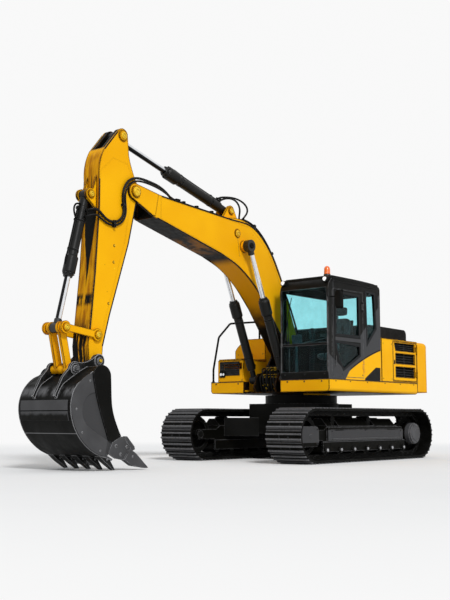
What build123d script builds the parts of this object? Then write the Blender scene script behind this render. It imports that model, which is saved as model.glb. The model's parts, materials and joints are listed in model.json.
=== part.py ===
from build123d import *
import math
import os

os.makedirs("parts", exist_ok=True)

# All sizes in millimetres. +X forward, +Y to the operator's left, +Z up.
# The origin is on the ground under the slew axis.

# Fits
seat_gap = 0.3
cut_over = 1

# Undercarriage
track_half_length = 2157
track_height = 914
track_gauge = 2350
shoe_width = 700
shoe_pitch = 190
shoe_gap = 7
shoe_plate = 14
grouser_height = 24
grouser_width = 22
loop_skin = 14
chain_depth = 88
chain_inner = 70
chain_rail = 42
loop_steps = 14
track_y = track_gauge / 2
axle_z = track_height / 2
axle_x = track_half_length - track_height / 2
chain_radius_inner = axle_z - grouser_height - shoe_plate - loop_skin - chain_depth
roller_radius = 74
roller_z = axle_z - chain_radius_inner + roller_radius
roller_count = 7
roller_spacing = 415
roller_first_x = -roller_spacing * (roller_count - 1) / 2 + 15
roller_half = 204
roller_cap_radius = 50
carrier_radius = 58
carrier_half = 118
carrier_x = (-240, 900)
axle_radius = 62
frame_half_width = roller_half + seat_gap
frame_bottom = axle_z - 145
frame_top = axle_z + 153
frame_ridge = axle_z + chain_radius_inner - 40
frame_front_x = axle_x - chain_radius_inner - 48
frame_rear_x = -axle_x + chain_radius_inner + 233
guard_plate = 30
panel_bottom = axle_z - 92
panel_top = axle_z + 133
sprocket_teeth = 21
hub_radius = 215

# Slewing ring and car body
ring_outer = 660
ring_bore = 540
ring_bottom = 1000
ring_top = 1150
core_half_x = 760
core_half_y = 620
leg_bottom = axle_z - 37
leg_height = 330
eye_radius = 26
tow_eye = (815, 545)

# House
deck_bottom = 1190
deck_plate = 24
beam_top = 1400
beam_width = 90
beam_corner = 60
house_half_width = 1373
house_front_x = 1102
right_front_x = 960
house_rear_x = -1900
weight_top = 2195
body_top = 2195
body_sheet = 26
tail_radius = 2650
hood_top = 2480
hood_sheet = 24
hood_half = 960
bay_half = 560
door_front = -1010
door_rear = -1872
louvre_slats = 4
louvre_depth = 34
barrel_radius = 10
barrel_length = 90
side_door_hinge = (-1878, house_half_width + 12)
hood_hinge = (-2240, weight_top + 15)
side_barrel_heights = (1560, 2040)
hood_barrel_places = (-600, 600)
tank_front_x = 250
tank_top = 2240
tool_box_inner_y = -600
tool_box_outer_y = -house_half_width + 158
tool_box_top = 1800
tool_box_wall = 25
lid_hinge = (tank_front_x + 25, tool_box_top + 36)
lifting_eye = (-2450, weight_top + 60)
lifting_eye_y = 620
lifting_eye_half = 20
lifting_hole = 30

# Cab
cab_rear_x = -576
cab_inner_y = 357
cab_top = 3122
cab_wall = 50
cab_glass_top = cab_top - 162
door_rear_x = 10
door_front_x = 1010
door_gap = 6
door_bottom = beam_top + 40
window_top = cab_top - 242
glass_sheet = 6
sash_bar = 2000
cab_door_hinge = (10, house_half_width + 12)
cab_barrel_heights = (1640, 2700)
cab_middle_y = (cab_inner_y + house_half_width) / 2

# Boom plane, and pins as (x, z)
boom_y = -90
foot_pin = (300, 1870)
nose_pin = (4469, 4190)
boom_ram_base = (850, 1430)
boom_ram_eye = (1830, 3690)
arm_ram_base = (2067, 4295)
arm_ram_eye = (4715, 5024)
bucket_pin = (5202, 1557)
idler_pin = (5196, 1938)
link_pin = (5800, 2010)
ear_pin = (5657, 1425)
bucket_ram_base = (5295, 4024)

# Boom, arm and bucket
boom_half = 210
boom_sheet = 14
foot_radius = 55
arm_half = 170
arm_sheet = 16
fork_gap = 6
ram_offset = 335
ram_eye_half = 55
inner_eye_half = 75.7
ear_gap = 76
ear_thickness = 40
ram_pin_radius = 40
link_plate_inner = 76
link_plate_outer = 126
bucket_ear_inner = 215
bucket_ear_plate = 40
bucket_half = 560
bucket_side = 22
bucket_sheet = 20
wear_sheet = 14
tooth_count = 5
tooth_spread = 500
pipe_radius = 17
pipe_offsets = (100, 155)


# Shapes


def block(x0, x1, y0, y1, z0, z1):
    middle = Pos((x0 + x1) / 2, (y0 + y1) / 2, (z0 + z1) / 2)
    return middle * Box(x1 - x0, abs(y1 - y0), z1 - z0)


def contour(start, steps):
    """A closed outline from ("to", point), ("arc", middle, end) and ("curve", point, ...) steps."""
    edges = []
    here = start
    for kind, *points in steps:
        if kind == "to":
            edges.append(Line(here, points[0]))
        elif kind == "arc":
            edges.append(ThreePointArc(here, *points))
        else:
            edges.append(Spline(here, *points))
        here = points[-1]
    if math.dist(here, start) > seat_gap:
        edges.append(Line(here, start))
    return make_face(edges)


def polygon(points):
    return make_face(Polyline(*points, close=True))


def outline_face(outline):
    return polygon(outline) if isinstance(outline, list) else outline


def side_plate(outline, y0, y1):
    """An outline in X and Z, as thick as y0 to y1."""
    plane = Plane(origin=(0, max(y0, y1), 0), x_dir=(1, 0, 0), z_dir=(0, -1, 0))
    return extrude(plane * outline_face(outline), amount=abs(y1 - y0))


def cross_plate(outline, x0, x1):
    """An outline in Y and Z, as long as x0 to x1."""
    plane = Plane(origin=(x0, 0, 0), x_dir=(0, 1, 0), z_dir=(1, 0, 0))
    return extrude(plane * outline_face(outline), amount=x1 - x0)


def floor_plate(outline, z0, z1):
    """An outline in X and Y, as high as z0 to z1."""
    return extrude(Pos(0, 0, z0) * outline_face(outline), amount=z1 - z0)


def pin(centre, y0, y1, radius):
    start = Plane(origin=(centre[0], min(y0, y1), centre[1]), z_dir=(0, 1, 0))
    return start * Cylinder(radius, abs(y1 - y0), align=(Align.CENTER, Align.CENTER, Align.MIN))


def pin_pair(centre, inner, outer, radius, middle=boom_y):
    return [pin(centre, middle + side * inner, middle + side * outer, radius) for side in (1, -1)]


def plates(outline, inner, outer, middle=boom_y):
    return [side_plate(outline, middle + side * inner, middle + side * outer) for side in (1, -1)]


def post(x, y, z0, z1, radius):
    return Pos(x, y, z0) * Cylinder(radius, z1 - z0, align=(Align.CENTER, Align.CENTER, Align.MIN))


def shaft(start, end, radius):
    direction = Vector(*end) - Vector(*start)
    solid = Cylinder(radius, direction.length, align=(Align.CENTER, Align.CENTER, Align.MIN))
    return Plane(origin=start, z_dir=direction) * solid


def turned(start, end, profile):
    """A turned solid on the line from start to end, from (distance, radius) pairs."""
    points = [(0, profile[0][0])] + [(radius, along) for along, radius in profile] + [(0, profile[-1][0])]
    solid = revolve(Plane.XZ * polygon(points), axis=Axis.Z)
    return Plane(origin=start, z_dir=Vector(*end) - Vector(*start)) * solid


def pipe(points, radius, bend):
    path = FilletPolyline(*points, radius=bend)
    return sweep(Plane(origin=path @ 0, z_dir=path % 0) * Circle(radius), path=path)


def fused(pieces):
    result = pieces[0]
    for piece in pieces[1:]:
        result = result + piece
    return result


def toward(start, end, distance):
    step = distance / math.dist(start, end)
    return (start[0] + (end[0] - start[0]) * step, start[1] + (end[1] - start[1]) * step)


def around(centre, radius, degrees):
    turn = math.radians(degrees)
    return (centre[0] + radius * math.cos(turn), centre[1] + radius * math.sin(turn))


def bar(start, end, half, round_start, round_end, y0, y1):
    """A flat link between two eyes, with a round boss at each end."""
    length = math.dist(start, end)
    nx = -(end[1] - start[1]) / length * half
    nz = (end[0] - start[0]) / length * half
    corners = [
        (start[0] + nx, start[1] + nz),
        (end[0] + nx, end[1] + nz),
        (end[0] - nx, end[1] - nz),
        (start[0] - nx, start[1] - nz),
    ]
    body = side_plate(corners, y0, y1) + pin(start, y0, y1, round_start)
    return body + pin(end, y0, y1, round_end)


def save(name, shape):
    if isinstance(shape, (list, tuple)):
        shape = Compound(children=list(shape))
    export_step(shape, "parts/" + name + ".step")


# Undercarriage


def loop_place(distance, radius):
    """Point and tangent angle on the track loop, from the middle of its bottom run."""
    half = axle_x
    arc = math.pi * radius
    if distance < half:
        return (distance, axle_z - radius, 0.0)
    distance = distance - half
    if distance < arc:
        turn = distance / radius
        return (half + radius * math.sin(turn), axle_z - radius * math.cos(turn), turn)
    distance = distance - arc
    if distance < 2 * half:
        return (half - distance, axle_z + radius, math.pi)
    distance = distance - 2 * half
    if distance < arc:
        turn = distance / radius
        return (-half - radius * math.sin(turn), axle_z + radius * math.cos(turn), math.pi + turn)
    return (-half + distance - arc, axle_z - radius, 0.0)


def shoe_outline(pitch):
    """One shoe with its two grousers, from its leading to its trailing end, as (along, outwards)."""
    half = (pitch - shoe_gap) / 2
    top = shoe_plate + grouser_height
    points = [(-half, 0), (-half, shoe_plate)]
    for place in (-0.62 * half, 0.30 * half):
        points.append((place - grouser_width * 0.7, shoe_plate))
        points.append((place - grouser_width * 0.5, top))
        points.append((place + grouser_width * 0.5, top))
        points.append((place + grouser_width * 0.7, shoe_plate))
    return points + [(half, shoe_plate), (half, 0)]


def loop_ring(radius):
    """A flat-sided ring line round both axles."""
    points = []
    for side in (1, -1):
        for step in range(loop_steps + 1):
            turn = math.pi * step / loop_steps
            x = side * (axle_x + radius * math.sin(turn))
            points.append((x, axle_z - side * radius * math.cos(turn)))
    return points


def track(middle):
    """The whole loop with its shoes, and the two rails of its chain inside."""
    radius = axle_z - grouser_height - shoe_plate
    length = 4 * axle_x + 2 * math.pi * radius
    count = round(length / shoe_pitch)
    pitch = length / count
    points = []
    for number in range(count):
        x, z, turn = loop_place(number * pitch + pitch / 2, radius)
        ux, uz = math.cos(turn), math.sin(turn)
        for along, out in shoe_outline(pitch):
            points.append((x + along * ux + out * uz, max(z + along * uz - out * ux, 0)))
    half = shoe_width / 2
    loop = side_plate(points, middle - half, middle + half)
    loop = loop - side_plate(loop_ring(radius - loop_skin), middle - half, middle + half)
    for side in (-1, 1):
        near = middle + side * chain_inner
        far = middle + side * (chain_inner + chain_rail)
        rail = side_plate(loop_ring(radius - loop_skin + 1), near, far)
        loop = loop + (rail - side_plate(loop_ring(chain_radius_inner), near, far))
    return loop


def idler_wheel(middle):
    centre = (axle_x, axle_z)
    radius = chain_radius_inner * math.cos(math.pi / (2 * loop_steps)) - seat_gap
    rim = chain_inner + chain_rail + 10
    wheel = pin(centre, middle - rim, middle + rim, radius)
    wheel = wheel + pin(centre, middle - chain_inner + 8, middle + chain_inner - 8, radius + 34)
    for side in (-1, 1):
        wheel = wheel - pin(centre, middle + side * 40, middle + side * rim, radius - 70)
    return wheel + pin(centre, middle - frame_half_width, middle + frame_half_width, axle_radius)


def sprocket_wheel(side):
    middle = side * track_y
    outer = chain_radius_inner + 42
    root = chain_radius_inner - 12
    step = 2 * math.pi / sprocket_teeth
    points = []
    for number in range(sprocket_teeth):
        for part, radius in ((0.0, root), (0.32, root), (0.52, outer), (0.80, outer)):
            turn = (number + part) * step
            points.append((-axle_x + radius * math.cos(turn), axle_z + radius * math.sin(turn)))
    wheel = side_plate(points, middle - 30, middle + 30)
    return wheel + pin((-axle_x, axle_z), middle - side * 150, middle + side * 120, hub_radius)


def final_drive(side):
    centre = (-axle_x, axle_z)
    near = side * (track_y + 120 + seat_gap)
    middle = side * (track_y + 205)
    far = side * (track_y + 235)
    drive = pin(centre, near, middle, hub_radius - 20) + pin(centre, middle, far, hub_radius - 35)
    for number in range(10):
        spot = around(centre, hub_radius - 60, number * 36)
        drive = drive + pin(spot, far, far + side * 12, 11)
    return drive


def frame_profile():
    return [
        (frame_rear_x, frame_bottom),
        (frame_front_x - 60, frame_bottom),
        (frame_front_x, frame_bottom + 60),
        (frame_front_x, frame_top - 90),
        (frame_front_x - 160, frame_top),
        (frame_rear_x + 90, frame_top),
        (frame_rear_x, frame_top - 60),
    ]


def frame_roof(middle, x0, x1):
    """A sloping roof on the track frame that sheds earth, between two places along it."""
    outline = [
        (middle - frame_half_width + 20, frame_top - 1),
        (middle - 70, frame_ridge),
        (middle + 70, frame_ridge),
        (middle + frame_half_width - 20, frame_top - 1),
    ]
    return cross_plate(outline, x0, x1)


def roller_rails(middle):
    x0 = roller_first_x - 60
    x1 = roller_first_x + (roller_count - 1) * roller_spacing + 90
    rails = []
    for edge in (-1, 1):
        near = middle + edge * (roller_half + seat_gap)
        far = near + edge * guard_plate
        rails.append(block(x0, x1, near, far, roller_z - 30, frame_bottom + 40))
    return rails


def side_panel(side):
    """The raised long panel on the frame's outside, with its sunk field."""
    near = side * (track_y + frame_half_width)
    far = near + side * (guard_plate + 14)
    x0 = frame_rear_x - 60
    x1 = frame_front_x - 130
    outline = [
        (x0, panel_bottom),
        (x1, panel_bottom),
        (x1, panel_top),
        (x0 + 50, panel_top),
        (x0, panel_top - 60),
    ]
    field = block(x0 + 60, x1 - 60, far - side * 9, far + side * cut_over, panel_bottom + 34, panel_top - 40)
    return side_plate(outline, near, far) - field


def idler_guard(side):
    """The bearing cover with round corners over the idler's axle."""
    near = side * (track_y + frame_half_width)
    far = near + side * 26
    x0, x1 = axle_x - 230, axle_x + 350
    plate = side_plate(polygon([(x0, axle_z - 182), (x1, axle_z - 182), (x1, axle_z + 148), (x0, axle_z + 148)]), near, far)
    plate = fillet(plate.edges().filter_by(Axis.Y), 90)
    boss = pin((axle_x + 10, axle_z - 10), near, far + side * 10, 34)
    return plate + boss


def track_frame(side):
    middle = side * track_y
    inner = middle - frame_half_width
    outer = middle + frame_half_width
    body = side_plate(frame_profile(), inner, outer)
    hollow = block(frame_rear_x + 40, frame_front_x - 90, inner + 20, outer - 20, frame_bottom - 1, frame_top - 110)
    pieces = [body - hollow] + roller_rails(middle) + [side_panel(side), idler_guard(side)]
    stops = [frame_rear_x + 100, carrier_x[0] - 90, carrier_x[0] + 90, carrier_x[1] - 90, carrier_x[1] + 90, frame_front_x - 170]
    for x0, x1 in zip(stops[::2], stops[1::2]):
        pieces.append(frame_roof(middle, x0, x1))
    front_cheek = [
        (frame_front_x - 250, axle_z - 90),
        (axle_x + 60, axle_z - 85),
        (axle_x + 95, axle_z),
        (axle_x + 60, axle_z + 85),
        (frame_front_x - 250, axle_z + 90),
    ]
    for edge in (-1, 1):
        near = middle + edge * frame_half_width
        pieces.append(side_plate(front_cheek, near, near - edge * 45))
    drive_cheek = [
        (frame_rear_x + 200, axle_z - 140),
        (-axle_x - 60, axle_z - 130),
        (-axle_x - 160, axle_z),
        (-axle_x - 60, axle_z + 130),
        (frame_rear_x + 200, axle_z + 150),
    ]
    pieces.append(side_plate(drive_cheek, middle - side * (150 + seat_gap), middle - side * frame_half_width))
    frame = fused(pieces)
    return frame - pin((axle_x, axle_z), inner - 1, outer + seat_gap, axle_radius + seat_gap)


def bottom_rollers(side):
    pieces = []
    middle = side * track_y
    cap = middle + side * (roller_half + 2 * seat_gap + guard_plate)
    for number in range(roller_count):
        centre = (roller_first_x + number * roller_spacing, roller_z)
        pieces.append(pin(centre, middle - roller_half, middle + roller_half, roller_radius))
        pieces.append(pin(centre, cap, cap + side * 22, roller_cap_radius))
    return pieces


def carrier_rollers(side):
    pieces = []
    middle = side * track_y
    z = axle_z + chain_radius_inner - carrier_radius - seat_gap
    for x in carrier_x:
        wheel = pin((x, z), middle - carrier_half, middle + carrier_half, carrier_radius)
        low = frame_top + seat_gap
        pieces.append(wheel + block(x - 45, x + 45, middle - carrier_half, middle + carrier_half, low, z - 20))
    return pieces


def car_leg(front, side):
    reach = track_y - frame_half_width - seat_gap
    outline = [
        (front * 560, side * 560),
        (front * core_half_x, side * 400),
        (front * 1060, side * reach),
        (front * 640, side * reach),
    ]
    inner = [
        (front * 600, side * 540),
        (front * (core_half_x - 15), side * 450),
        (front * 1000, side * (reach + 10)),
        (front * 690, side * (reach + 10)),
    ]
    leg = floor_plate(outline, leg_bottom, leg_bottom + leg_height)
    return leg - floor_plate(inner, leg_bottom - 20, leg_bottom + leg_height - 30)


def car_body():
    pieces = [block(-core_half_x, core_half_x, -core_half_y, core_half_y, leg_bottom + 50, ring_bottom)]
    for front in (-1, 1):
        for side in (-1, 1):
            pieces.append(car_leg(front, side))
    pieces.append(post(0, 0, ring_bottom - 60, ring_bottom, ring_outer + 30))
    body = fused(pieces)
    for front in (-1, 1):
        x, z = front * tow_eye[0], tow_eye[1]
        lug = [(x - front * 75, z - 65), (x + front * 45, z - 45), (x + front * 45, z + 45), (x - front * 75, z + 75)]
        body = body + (side_plate(lug, -30, 30) - pin((x, z), -31, 31, eye_radius))
    return body


def slew_ring():
    ring = post(0, 0, ring_bottom, ring_top, ring_outer)
    return ring - post(0, 0, ring_bottom - cut_over, ring_top + cut_over, ring_bore)


# House


def beam_profile(side):
    """The deck's edge beam in Y and Z: a box open to the inside, with its lower outer corner round."""
    half = house_half_width
    bend = beam_corner
    turn = bend * (1 - math.sqrt(0.5))
    outside = contour(
        (side * half, beam_top),
        [
            ("to", (side * half, deck_bottom + bend)),
            ("arc", (side * (half - turn), deck_bottom + turn), (side * (half - bend), deck_bottom)),
            ("to", (side * (half - beam_width), deck_bottom)),
            ("to", (side * (half - beam_width), beam_top)),
        ],
    )
    hollow = polygon(
        [
            (side * (half - 24), beam_top - 24),
            (side * (half - 24), deck_bottom + bend + 10),
            (side * (half - bend - 10), deck_bottom + 24),
            (side * (half - beam_width - 1), deck_bottom + 24),
            (side * (half - beam_width - 1), beam_top - 24),
        ]
    )
    return outside - hollow


def front_beam(x1, y0, y1):
    """A cross beam at the deck's front, with round lower corners."""
    bend = beam_corner
    turn = bend * (1 - math.sqrt(0.5))
    outline = contour(
        (y0, beam_top),
        [
            ("to", (y0, deck_bottom + bend)),
            ("arc", (y0 + turn, deck_bottom + turn), (y0 + bend, deck_bottom)),
            ("to", (y1 - bend, deck_bottom)),
            ("arc", (y1 - turn, deck_bottom + turn), (y1, deck_bottom + bend)),
            ("to", (y1, beam_top)),
        ],
    )
    return cross_plate(outline, x1 - 30, x1)


def boom_cheek():
    """The upright plate that carries the boom's foot and the boom ram's base."""
    base = boom_ram_base
    return contour(
        (-960, deck_bottom),
        [
            ("to", (base[0] + 110, deck_bottom)),
            ("to", (base[0] + 150, deck_bottom + 90)),
            ("arc", around(base, 112, -10), around(base, 112, 75)),
            ("curve", (640, 1640), (480, 1860), around(foot_pin, 150, 20)),
            ("arc", around(foot_pin, 150, 90), around(foot_pin, 150, 170)),
            ("curve", (20, 1740), (-300, 1500), (-960, beam_top)),
        ],
    )


def swing_frame():
    half = house_half_width
    bay_left = cab_inner_y - 10
    bay_right = boom_y - 500
    deck_edge = half - beam_width + 10
    left = block(house_rear_x, house_front_x, boom_y, deck_edge, deck_bottom, deck_bottom + deck_plate)
    right = block(house_rear_x, right_front_x, -deck_edge, boom_y, deck_bottom, deck_bottom + deck_plate)
    deck = left + right - block(860, house_front_x + 1, bay_right, bay_left, deck_bottom - 1, beam_top)
    pieces = [deck]
    pieces.append(cross_plate(beam_profile(1), house_rear_x, house_front_x - 1))
    pieces.append(cross_plate(beam_profile(-1), house_rear_x, right_front_x - 1))
    pieces.append(front_beam(house_front_x, bay_left, half))
    pieces.append(front_beam(right_front_x, -half, bay_right))
    pieces.append(block(800, house_front_x - 20, bay_left, bay_left + 40, deck_bottom + beam_corner, beam_top))
    pieces.append(block(800, right_front_x - 20, tool_box_inner_y + seat_gap, bay_right, deck_bottom + beam_corner, beam_top))
    pieces = pieces + plates(boom_cheek(), boom_half + 6, boom_half + 42)
    near, far = boom_y - boom_half - 6, boom_y + boom_half + 6
    pieces.append(block(-900, -864, near, far, deck_bottom, beam_top + 20))
    ram_face = ram_offset - ram_eye_half - seat_gap
    ram_back = ram_offset + ram_eye_half + seat_gap
    pieces = pieces + pin_pair(boom_ram_base, boom_half + 40, ram_face, 66)
    pieces = pieces + pin_pair(boom_ram_base, boom_half + 40, ram_back + 20, ram_pin_radius)
    pieces = pieces + pin_pair(boom_ram_base, ram_back, ram_back + 20, 62)
    frame = fused(pieces)
    reach = boom_half + 60
    frame = frame - pin(foot_pin, boom_y - reach, boom_y + reach, foot_radius + seat_gap)
    frame = frame + post(0, 0, ring_bottom + 30, deck_bottom + 1, ring_bore - seat_gap)
    return frame - post(0, 0, ring_bottom + 29, deck_bottom - 40, ring_bore - 60)


def boom_foot_pin():
    reach = boom_half + 62
    body = pin(foot_pin, boom_y - reach, boom_y + reach, foot_radius)
    return fused([body] + pin_pair(foot_pin, reach - 1, reach + 16, 34))


def counterweight():
    """A cast weight whose back is an arc round the slew axis, with round edges and lifting eyes."""
    half = house_half_width
    front = house_rear_x - seat_gap
    side_x = -math.sqrt(tail_radius**2 - (half - 40) ** 2) + 30
    plan = contour(
        (front, -half),
        [
            ("to", (side_x, -half)),
            ("to", (side_x - 30, -half + 40)),
            ("arc", (-tail_radius, 0), (side_x - 30, half - 40)),
            ("to", (side_x, half)),
            ("to", (front, half)),
        ],
    )
    body = floor_plate(plan, deck_bottom + 40, weight_top)
    top_edges = body.faces().sort_by(Axis.Z)[-1].edges().filter_by(lambda e: e.center().X < front - 1)
    body = fillet(top_edges, 85)
    low = deck_bottom
    undercut = [
        (-tail_radius - 100, low - 100),
        (-tail_radius + 170, low - 100),
        (-tail_radius + 170, low + 60),
        (-tail_radius - 50, low + 230),
        (-tail_radius - 100, low + 230),
    ]
    body = body - side_plate(undercut, -half - 1, half + 1)
    pieces = [body] + cross_barrels(False)
    for side in (-1, 1):
        near = side * lifting_eye_y - lifting_eye_half
        far = side * lifting_eye_y + lifting_eye_half
        x = lifting_eye[0]
        lug = pin(lifting_eye, near, far, 66) + block(x - 66, x + 66, near, far, weight_top - 5, lifting_eye[1])
        pieces.append(lug)
    weight = fused(pieces)
    reach = lifting_eye_y + lifting_eye_half
    return weight - pin(lifting_eye, -reach - 1, reach + 1, lifting_hole)


def engine():
    floor = deck_bottom + deck_plate
    pieces = [block(-1780, -1060, -bay_half + 20, bay_half - 80, floor + 120, 2050)]
    for x in (-1700, -1140):
        for y in (-480, 400):
            pieces.append(block(x - 60, x + 60, y - 60, y + 60, floor, floor + 120))
    return fused(pieces)


def side_body(side):
    """Fixed sheet body over the engine bay on one side, with a door opening."""
    outer = side * house_half_width
    inner = side * (house_half_width - body_sheet)
    bay = side * bay_half
    front = cab_rear_x - 30 if side > 0 else -tank_front_x - 310
    skin = block(house_rear_x, front, outer, inner, beam_top, body_top)
    edge = side * cut_over
    skin = skin - block(door_rear - 5, door_front + 5, inner - edge, outer + edge, beam_top + 25, body_top - 30)
    roof = block(house_rear_x, front, outer, bay, body_top - body_sheet, body_top)
    roof = fillet(roof.edges().filter_by(Axis.X).sort_by(lambda e: -side * e.center().Y - e.center().Z)[0], 18)
    wall = block(front - body_sheet, front, inner, bay, beam_top, body_top)
    low = deck_bottom + deck_plate
    foot_y = side * (house_half_width - beam_width - 1)
    wall = wall + block(front - body_sheet, front, foot_y, bay, low, beam_top)
    return fused([skin, roof, wall] + barrels(side_door_hinge, side, side_barrel_heights, False))


def louvre_rows():
    """Bottom and top of the three openings in a side door."""
    return ((beam_top + 100, beam_top + 290), (beam_top + 350, beam_top + 540), (beam_top + 590, beam_top + 735))


def louvre_window(bottom, top, grow):
    x0 = door_rear + 60 - grow
    x1 = door_front - 90 + grow
    slant = 40 if top > louvre_rows()[1][1] else 0
    return [(x0, bottom - grow), (x1, bottom - grow), (x1 + slant, top + grow), (x0, top + grow)]


def louvred_door(side):
    outer = side * house_half_width
    inner = side * (house_half_width - body_sheet)
    panel = block(door_rear, door_front, outer, inner, beam_top + 30, body_top - 35)
    panel = fillet(panel.edges().filter_by(Axis.Y), 30)
    for bottom, top in louvre_rows():
        panel = panel - side_plate(louvre_window(bottom, top, 0), outer + side, inner - side)
    return fused([panel] + barrels(side_door_hinge, side, side_barrel_heights, True))


def louvres(side):
    """Black slat banks behind the door's openings, one for each."""
    inner = side * (house_half_width - body_sheet - seat_gap)
    back = inner - side * louvre_depth
    pieces = []
    for bottom, top in louvre_rows():
        frame = side_plate(louvre_window(bottom, top, 16), inner, back)
        frame = frame - side_plate(louvre_window(bottom, top, 2), inner + side, back - side)
        step = (top - bottom) / louvre_slats
        bank = [block((door_rear + door_front) / 2 - 24, (door_rear + door_front) / 2 - 6, inner, back, bottom - 5, top + 5)]
        for number in range(louvre_slats):
            z = bottom + step * number
            slat = [(inner, z - 6), (inner, z + 5), (back, z + step + 4), (back, z + step - 7)]
            bank.append(cross_plate(slat, door_rear, door_front))
        pieces.append(frame + (fused(bank) & side_plate(louvre_window(bottom, top, 9), inner, back)))
    return pieces


def barrels(hinge, side, heights, on_door):
    """Hinge barrels along Z: the door's own in the middle, the frame's above and below."""
    pieces = []
    x = hinge[0]
    y = side * hinge[1]
    wall = side * (house_half_width - 4)
    end = barrel_length / 2
    for height in heights:
        if on_door:
            spans = [(height - end, height + end)]
            x0, x1 = x + 2, x + 34
        else:
            gap = seat_gap + end
            spans = [(height - gap - end, height - gap), (height + gap, height + gap + end)]
            x0, x1 = x - 21, x
        for z0, z1 in spans:
            pieces.append(post(x, y, z0, z1, barrel_radius))
            pieces.append(block(x0, x1, wall, y, z0, z1))
    return pieces


def cross_barrels(on_hood):
    """Hinge barrels along Y at the hood's rear edge: the hood's own in the middle."""
    pieces = []
    x, z = hood_hinge
    end = barrel_length / 2
    for place in hood_barrel_places:
        if on_hood:
            pieces.append(pin(hood_hinge, place - end, place + end, barrel_radius))
            pieces.append(block(x, x + 14, place - end, place + end, z - 6, z + 10))
        else:
            gap = seat_gap + end
            for y0, y1 in ((place - gap - end, place - gap), (place + gap, place + gap + end)):
                pieces.append(pin(hood_hinge, y0, y1, barrel_radius))
                pieces.append(block(x - 10, x + 8, y0, y1, weight_top - 1, z))
    return pieces


def hood_shape(inset, bottom):
    front = -760 - inset
    rear = hood_hinge[0] + 10 + inset
    top = hood_top - inset
    return contour(
        (rear, bottom),
        [
            ("to", (rear, top - 110)),
            ("arc", (rear + 26, top - 45), (rear + 90, top - 15)),
            ("to", (front - 120, top)),
            ("arc", (front - 28, top - 35), (front, top - 100)),
            ("to", (front, bottom)),
        ],
    )


def engine_hood():
    hood = side_plate(hood_shape(0, body_top + seat_gap), -hood_half, hood_half)
    inside = side_plate(hood_shape(hood_sheet, body_top - 1), -hood_half + hood_sheet, hood_half - hood_sheet)
    return fused([hood - inside] + cross_barrels(True))


def hood_seat():
    """Sheet deck round the engine opening that carries the hood."""
    reach = bay_half - 1
    outer = block(house_rear_x + 1, cab_rear_x - 30, -reach, reach, body_top - body_sheet, body_top)
    return outer - block(-1880, -800, -520, 520, body_top - body_sheet - 1, body_top + 1)


def tank():
    """Right hand tanks ahead of the pump bay, with a sloping upper outer edge."""
    half = house_half_width
    inner_y = tool_box_inner_y - 40
    rear = -tank_front_x - 305
    profile = [
        (-half, beam_top),
        (-half, tank_top - 220),
        (-half + 50, tank_top - 150),
        (-half + 240, tank_top),
        (inner_y, tank_top),
        (inner_y, beam_top),
    ]
    body = cross_plate(profile, rear, tank_front_x)
    foot_y = -half + beam_width + 1
    body = body + block(rear, tank_front_x, foot_y, inner_y, deck_bottom + deck_plate, beam_top)
    low = deck_bottom + deck_plate + 30
    return body - block(rear + 35, tank_front_x - 40, foot_y + 20, inner_y - 30, low, tank_top - 190)


def tool_box():
    """The step box ahead of the tank, with a slot in its front and hinge lugs for its lid."""
    rear = tank_front_x + 5
    front = right_front_x - 4
    y0, y1 = tool_box_outer_y, tool_box_inner_y
    wall = tool_box_wall
    body = block(rear, front, y0, y1, beam_top, tool_box_top)
    body = fillet(body.edges().filter_by(Axis.Z), 20)
    body = body + block(rear, front - 30, y0, y1, deck_bottom + deck_plate, beam_top)
    body = body - block(rear + wall, front - wall, y0 + wall, y1 - wall, beam_top + 20, tool_box_top + 1)
    recess = block(front - wall - 1, front + 1, y0 + 130, y1 - 40, tool_box_top - 160, tool_box_top - 60)
    body = body - recess
    for near, far in ((y0 + 10, y0 + 35 - seat_gap), (y1 - 30 + seat_gap, y1 - 5)):
        x, z = lid_hinge
        body = body + block(x - 10, x + 10, near, far, tool_box_top - 5, z) + pin(lid_hinge, near, far, barrel_radius)
    return body


def tool_box_lid():
    y0 = tool_box_outer_y + 35
    y1 = tool_box_inner_y - 30
    x, z = lid_hinge
    lid = block(x, right_front_x - 2, y0, y1, tool_box_top + seat_gap, tool_box_top + 24)
    lug = block(x - 10, x + 10, y0, y1, tool_box_top + 20, z)
    return lid + lug + pin(lid_hinge, y0, y1, barrel_radius)


def handrail():
    """Rail from the deck's right front corner over the step box to the top of the tank."""
    outer = -house_half_width + 30
    front = right_front_x - 30
    points = [
        (front, outer, beam_top),
        (front, outer, beam_top + 240),
        (front - 155, outer, beam_top + 860),
        (front - 440, outer + 43, beam_top + 1140),
        (-150, -1090, tank_top + 370),
        (-150, -1090, tank_top),
    ]
    return pipe(points, 19, 90)


def exhaust():
    return post(-1300, -1120, body_top + seat_gap, hood_top + 100, 55)


# Cab


def cab_outline(inset):
    front = house_front_x - inset
    rear = cab_rear_x + inset
    top = cab_top - inset
    return contour(
        (rear, beam_top + inset),
        [
            ("to", (front - 12, beam_top + inset)),
            ("to", (front, beam_top + 90 + inset)),
            ("to", (front - 10, cab_top - 330)),
            ("curve", (front - 46, top - 62), (front - 110, top)),
            ("to", (rear + 70, top)),
            ("arc", (rear + 21, top - 21), (rear, top - 70)),
        ],
    )


def door_outline(inset):
    return contour(
        (door_rear_x + inset, door_bottom + inset),
        [
            ("to", (door_front_x - 40 - inset, door_bottom + inset)),
            ("to", (door_front_x - inset, door_bottom + 60 + inset)),
            ("to", (door_front_x - 30 - inset, window_top + 20)),
            ("arc", (door_front_x - 44 - inset, window_top + 56 - inset), (door_front_x - 80, window_top + 72 - inset)),
            ("to", (door_rear_x + inset, window_top + 80 - inset)),
        ],
    )


def quarter_window():
    return [(-100, cab_top - 147), (-370, cab_top - 162), (-410, 2345), (-130, 2075)]


def upper_window():
    return [(150, 2178), (870, 2178), (855, window_top), (150, window_top - 10)]


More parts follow.
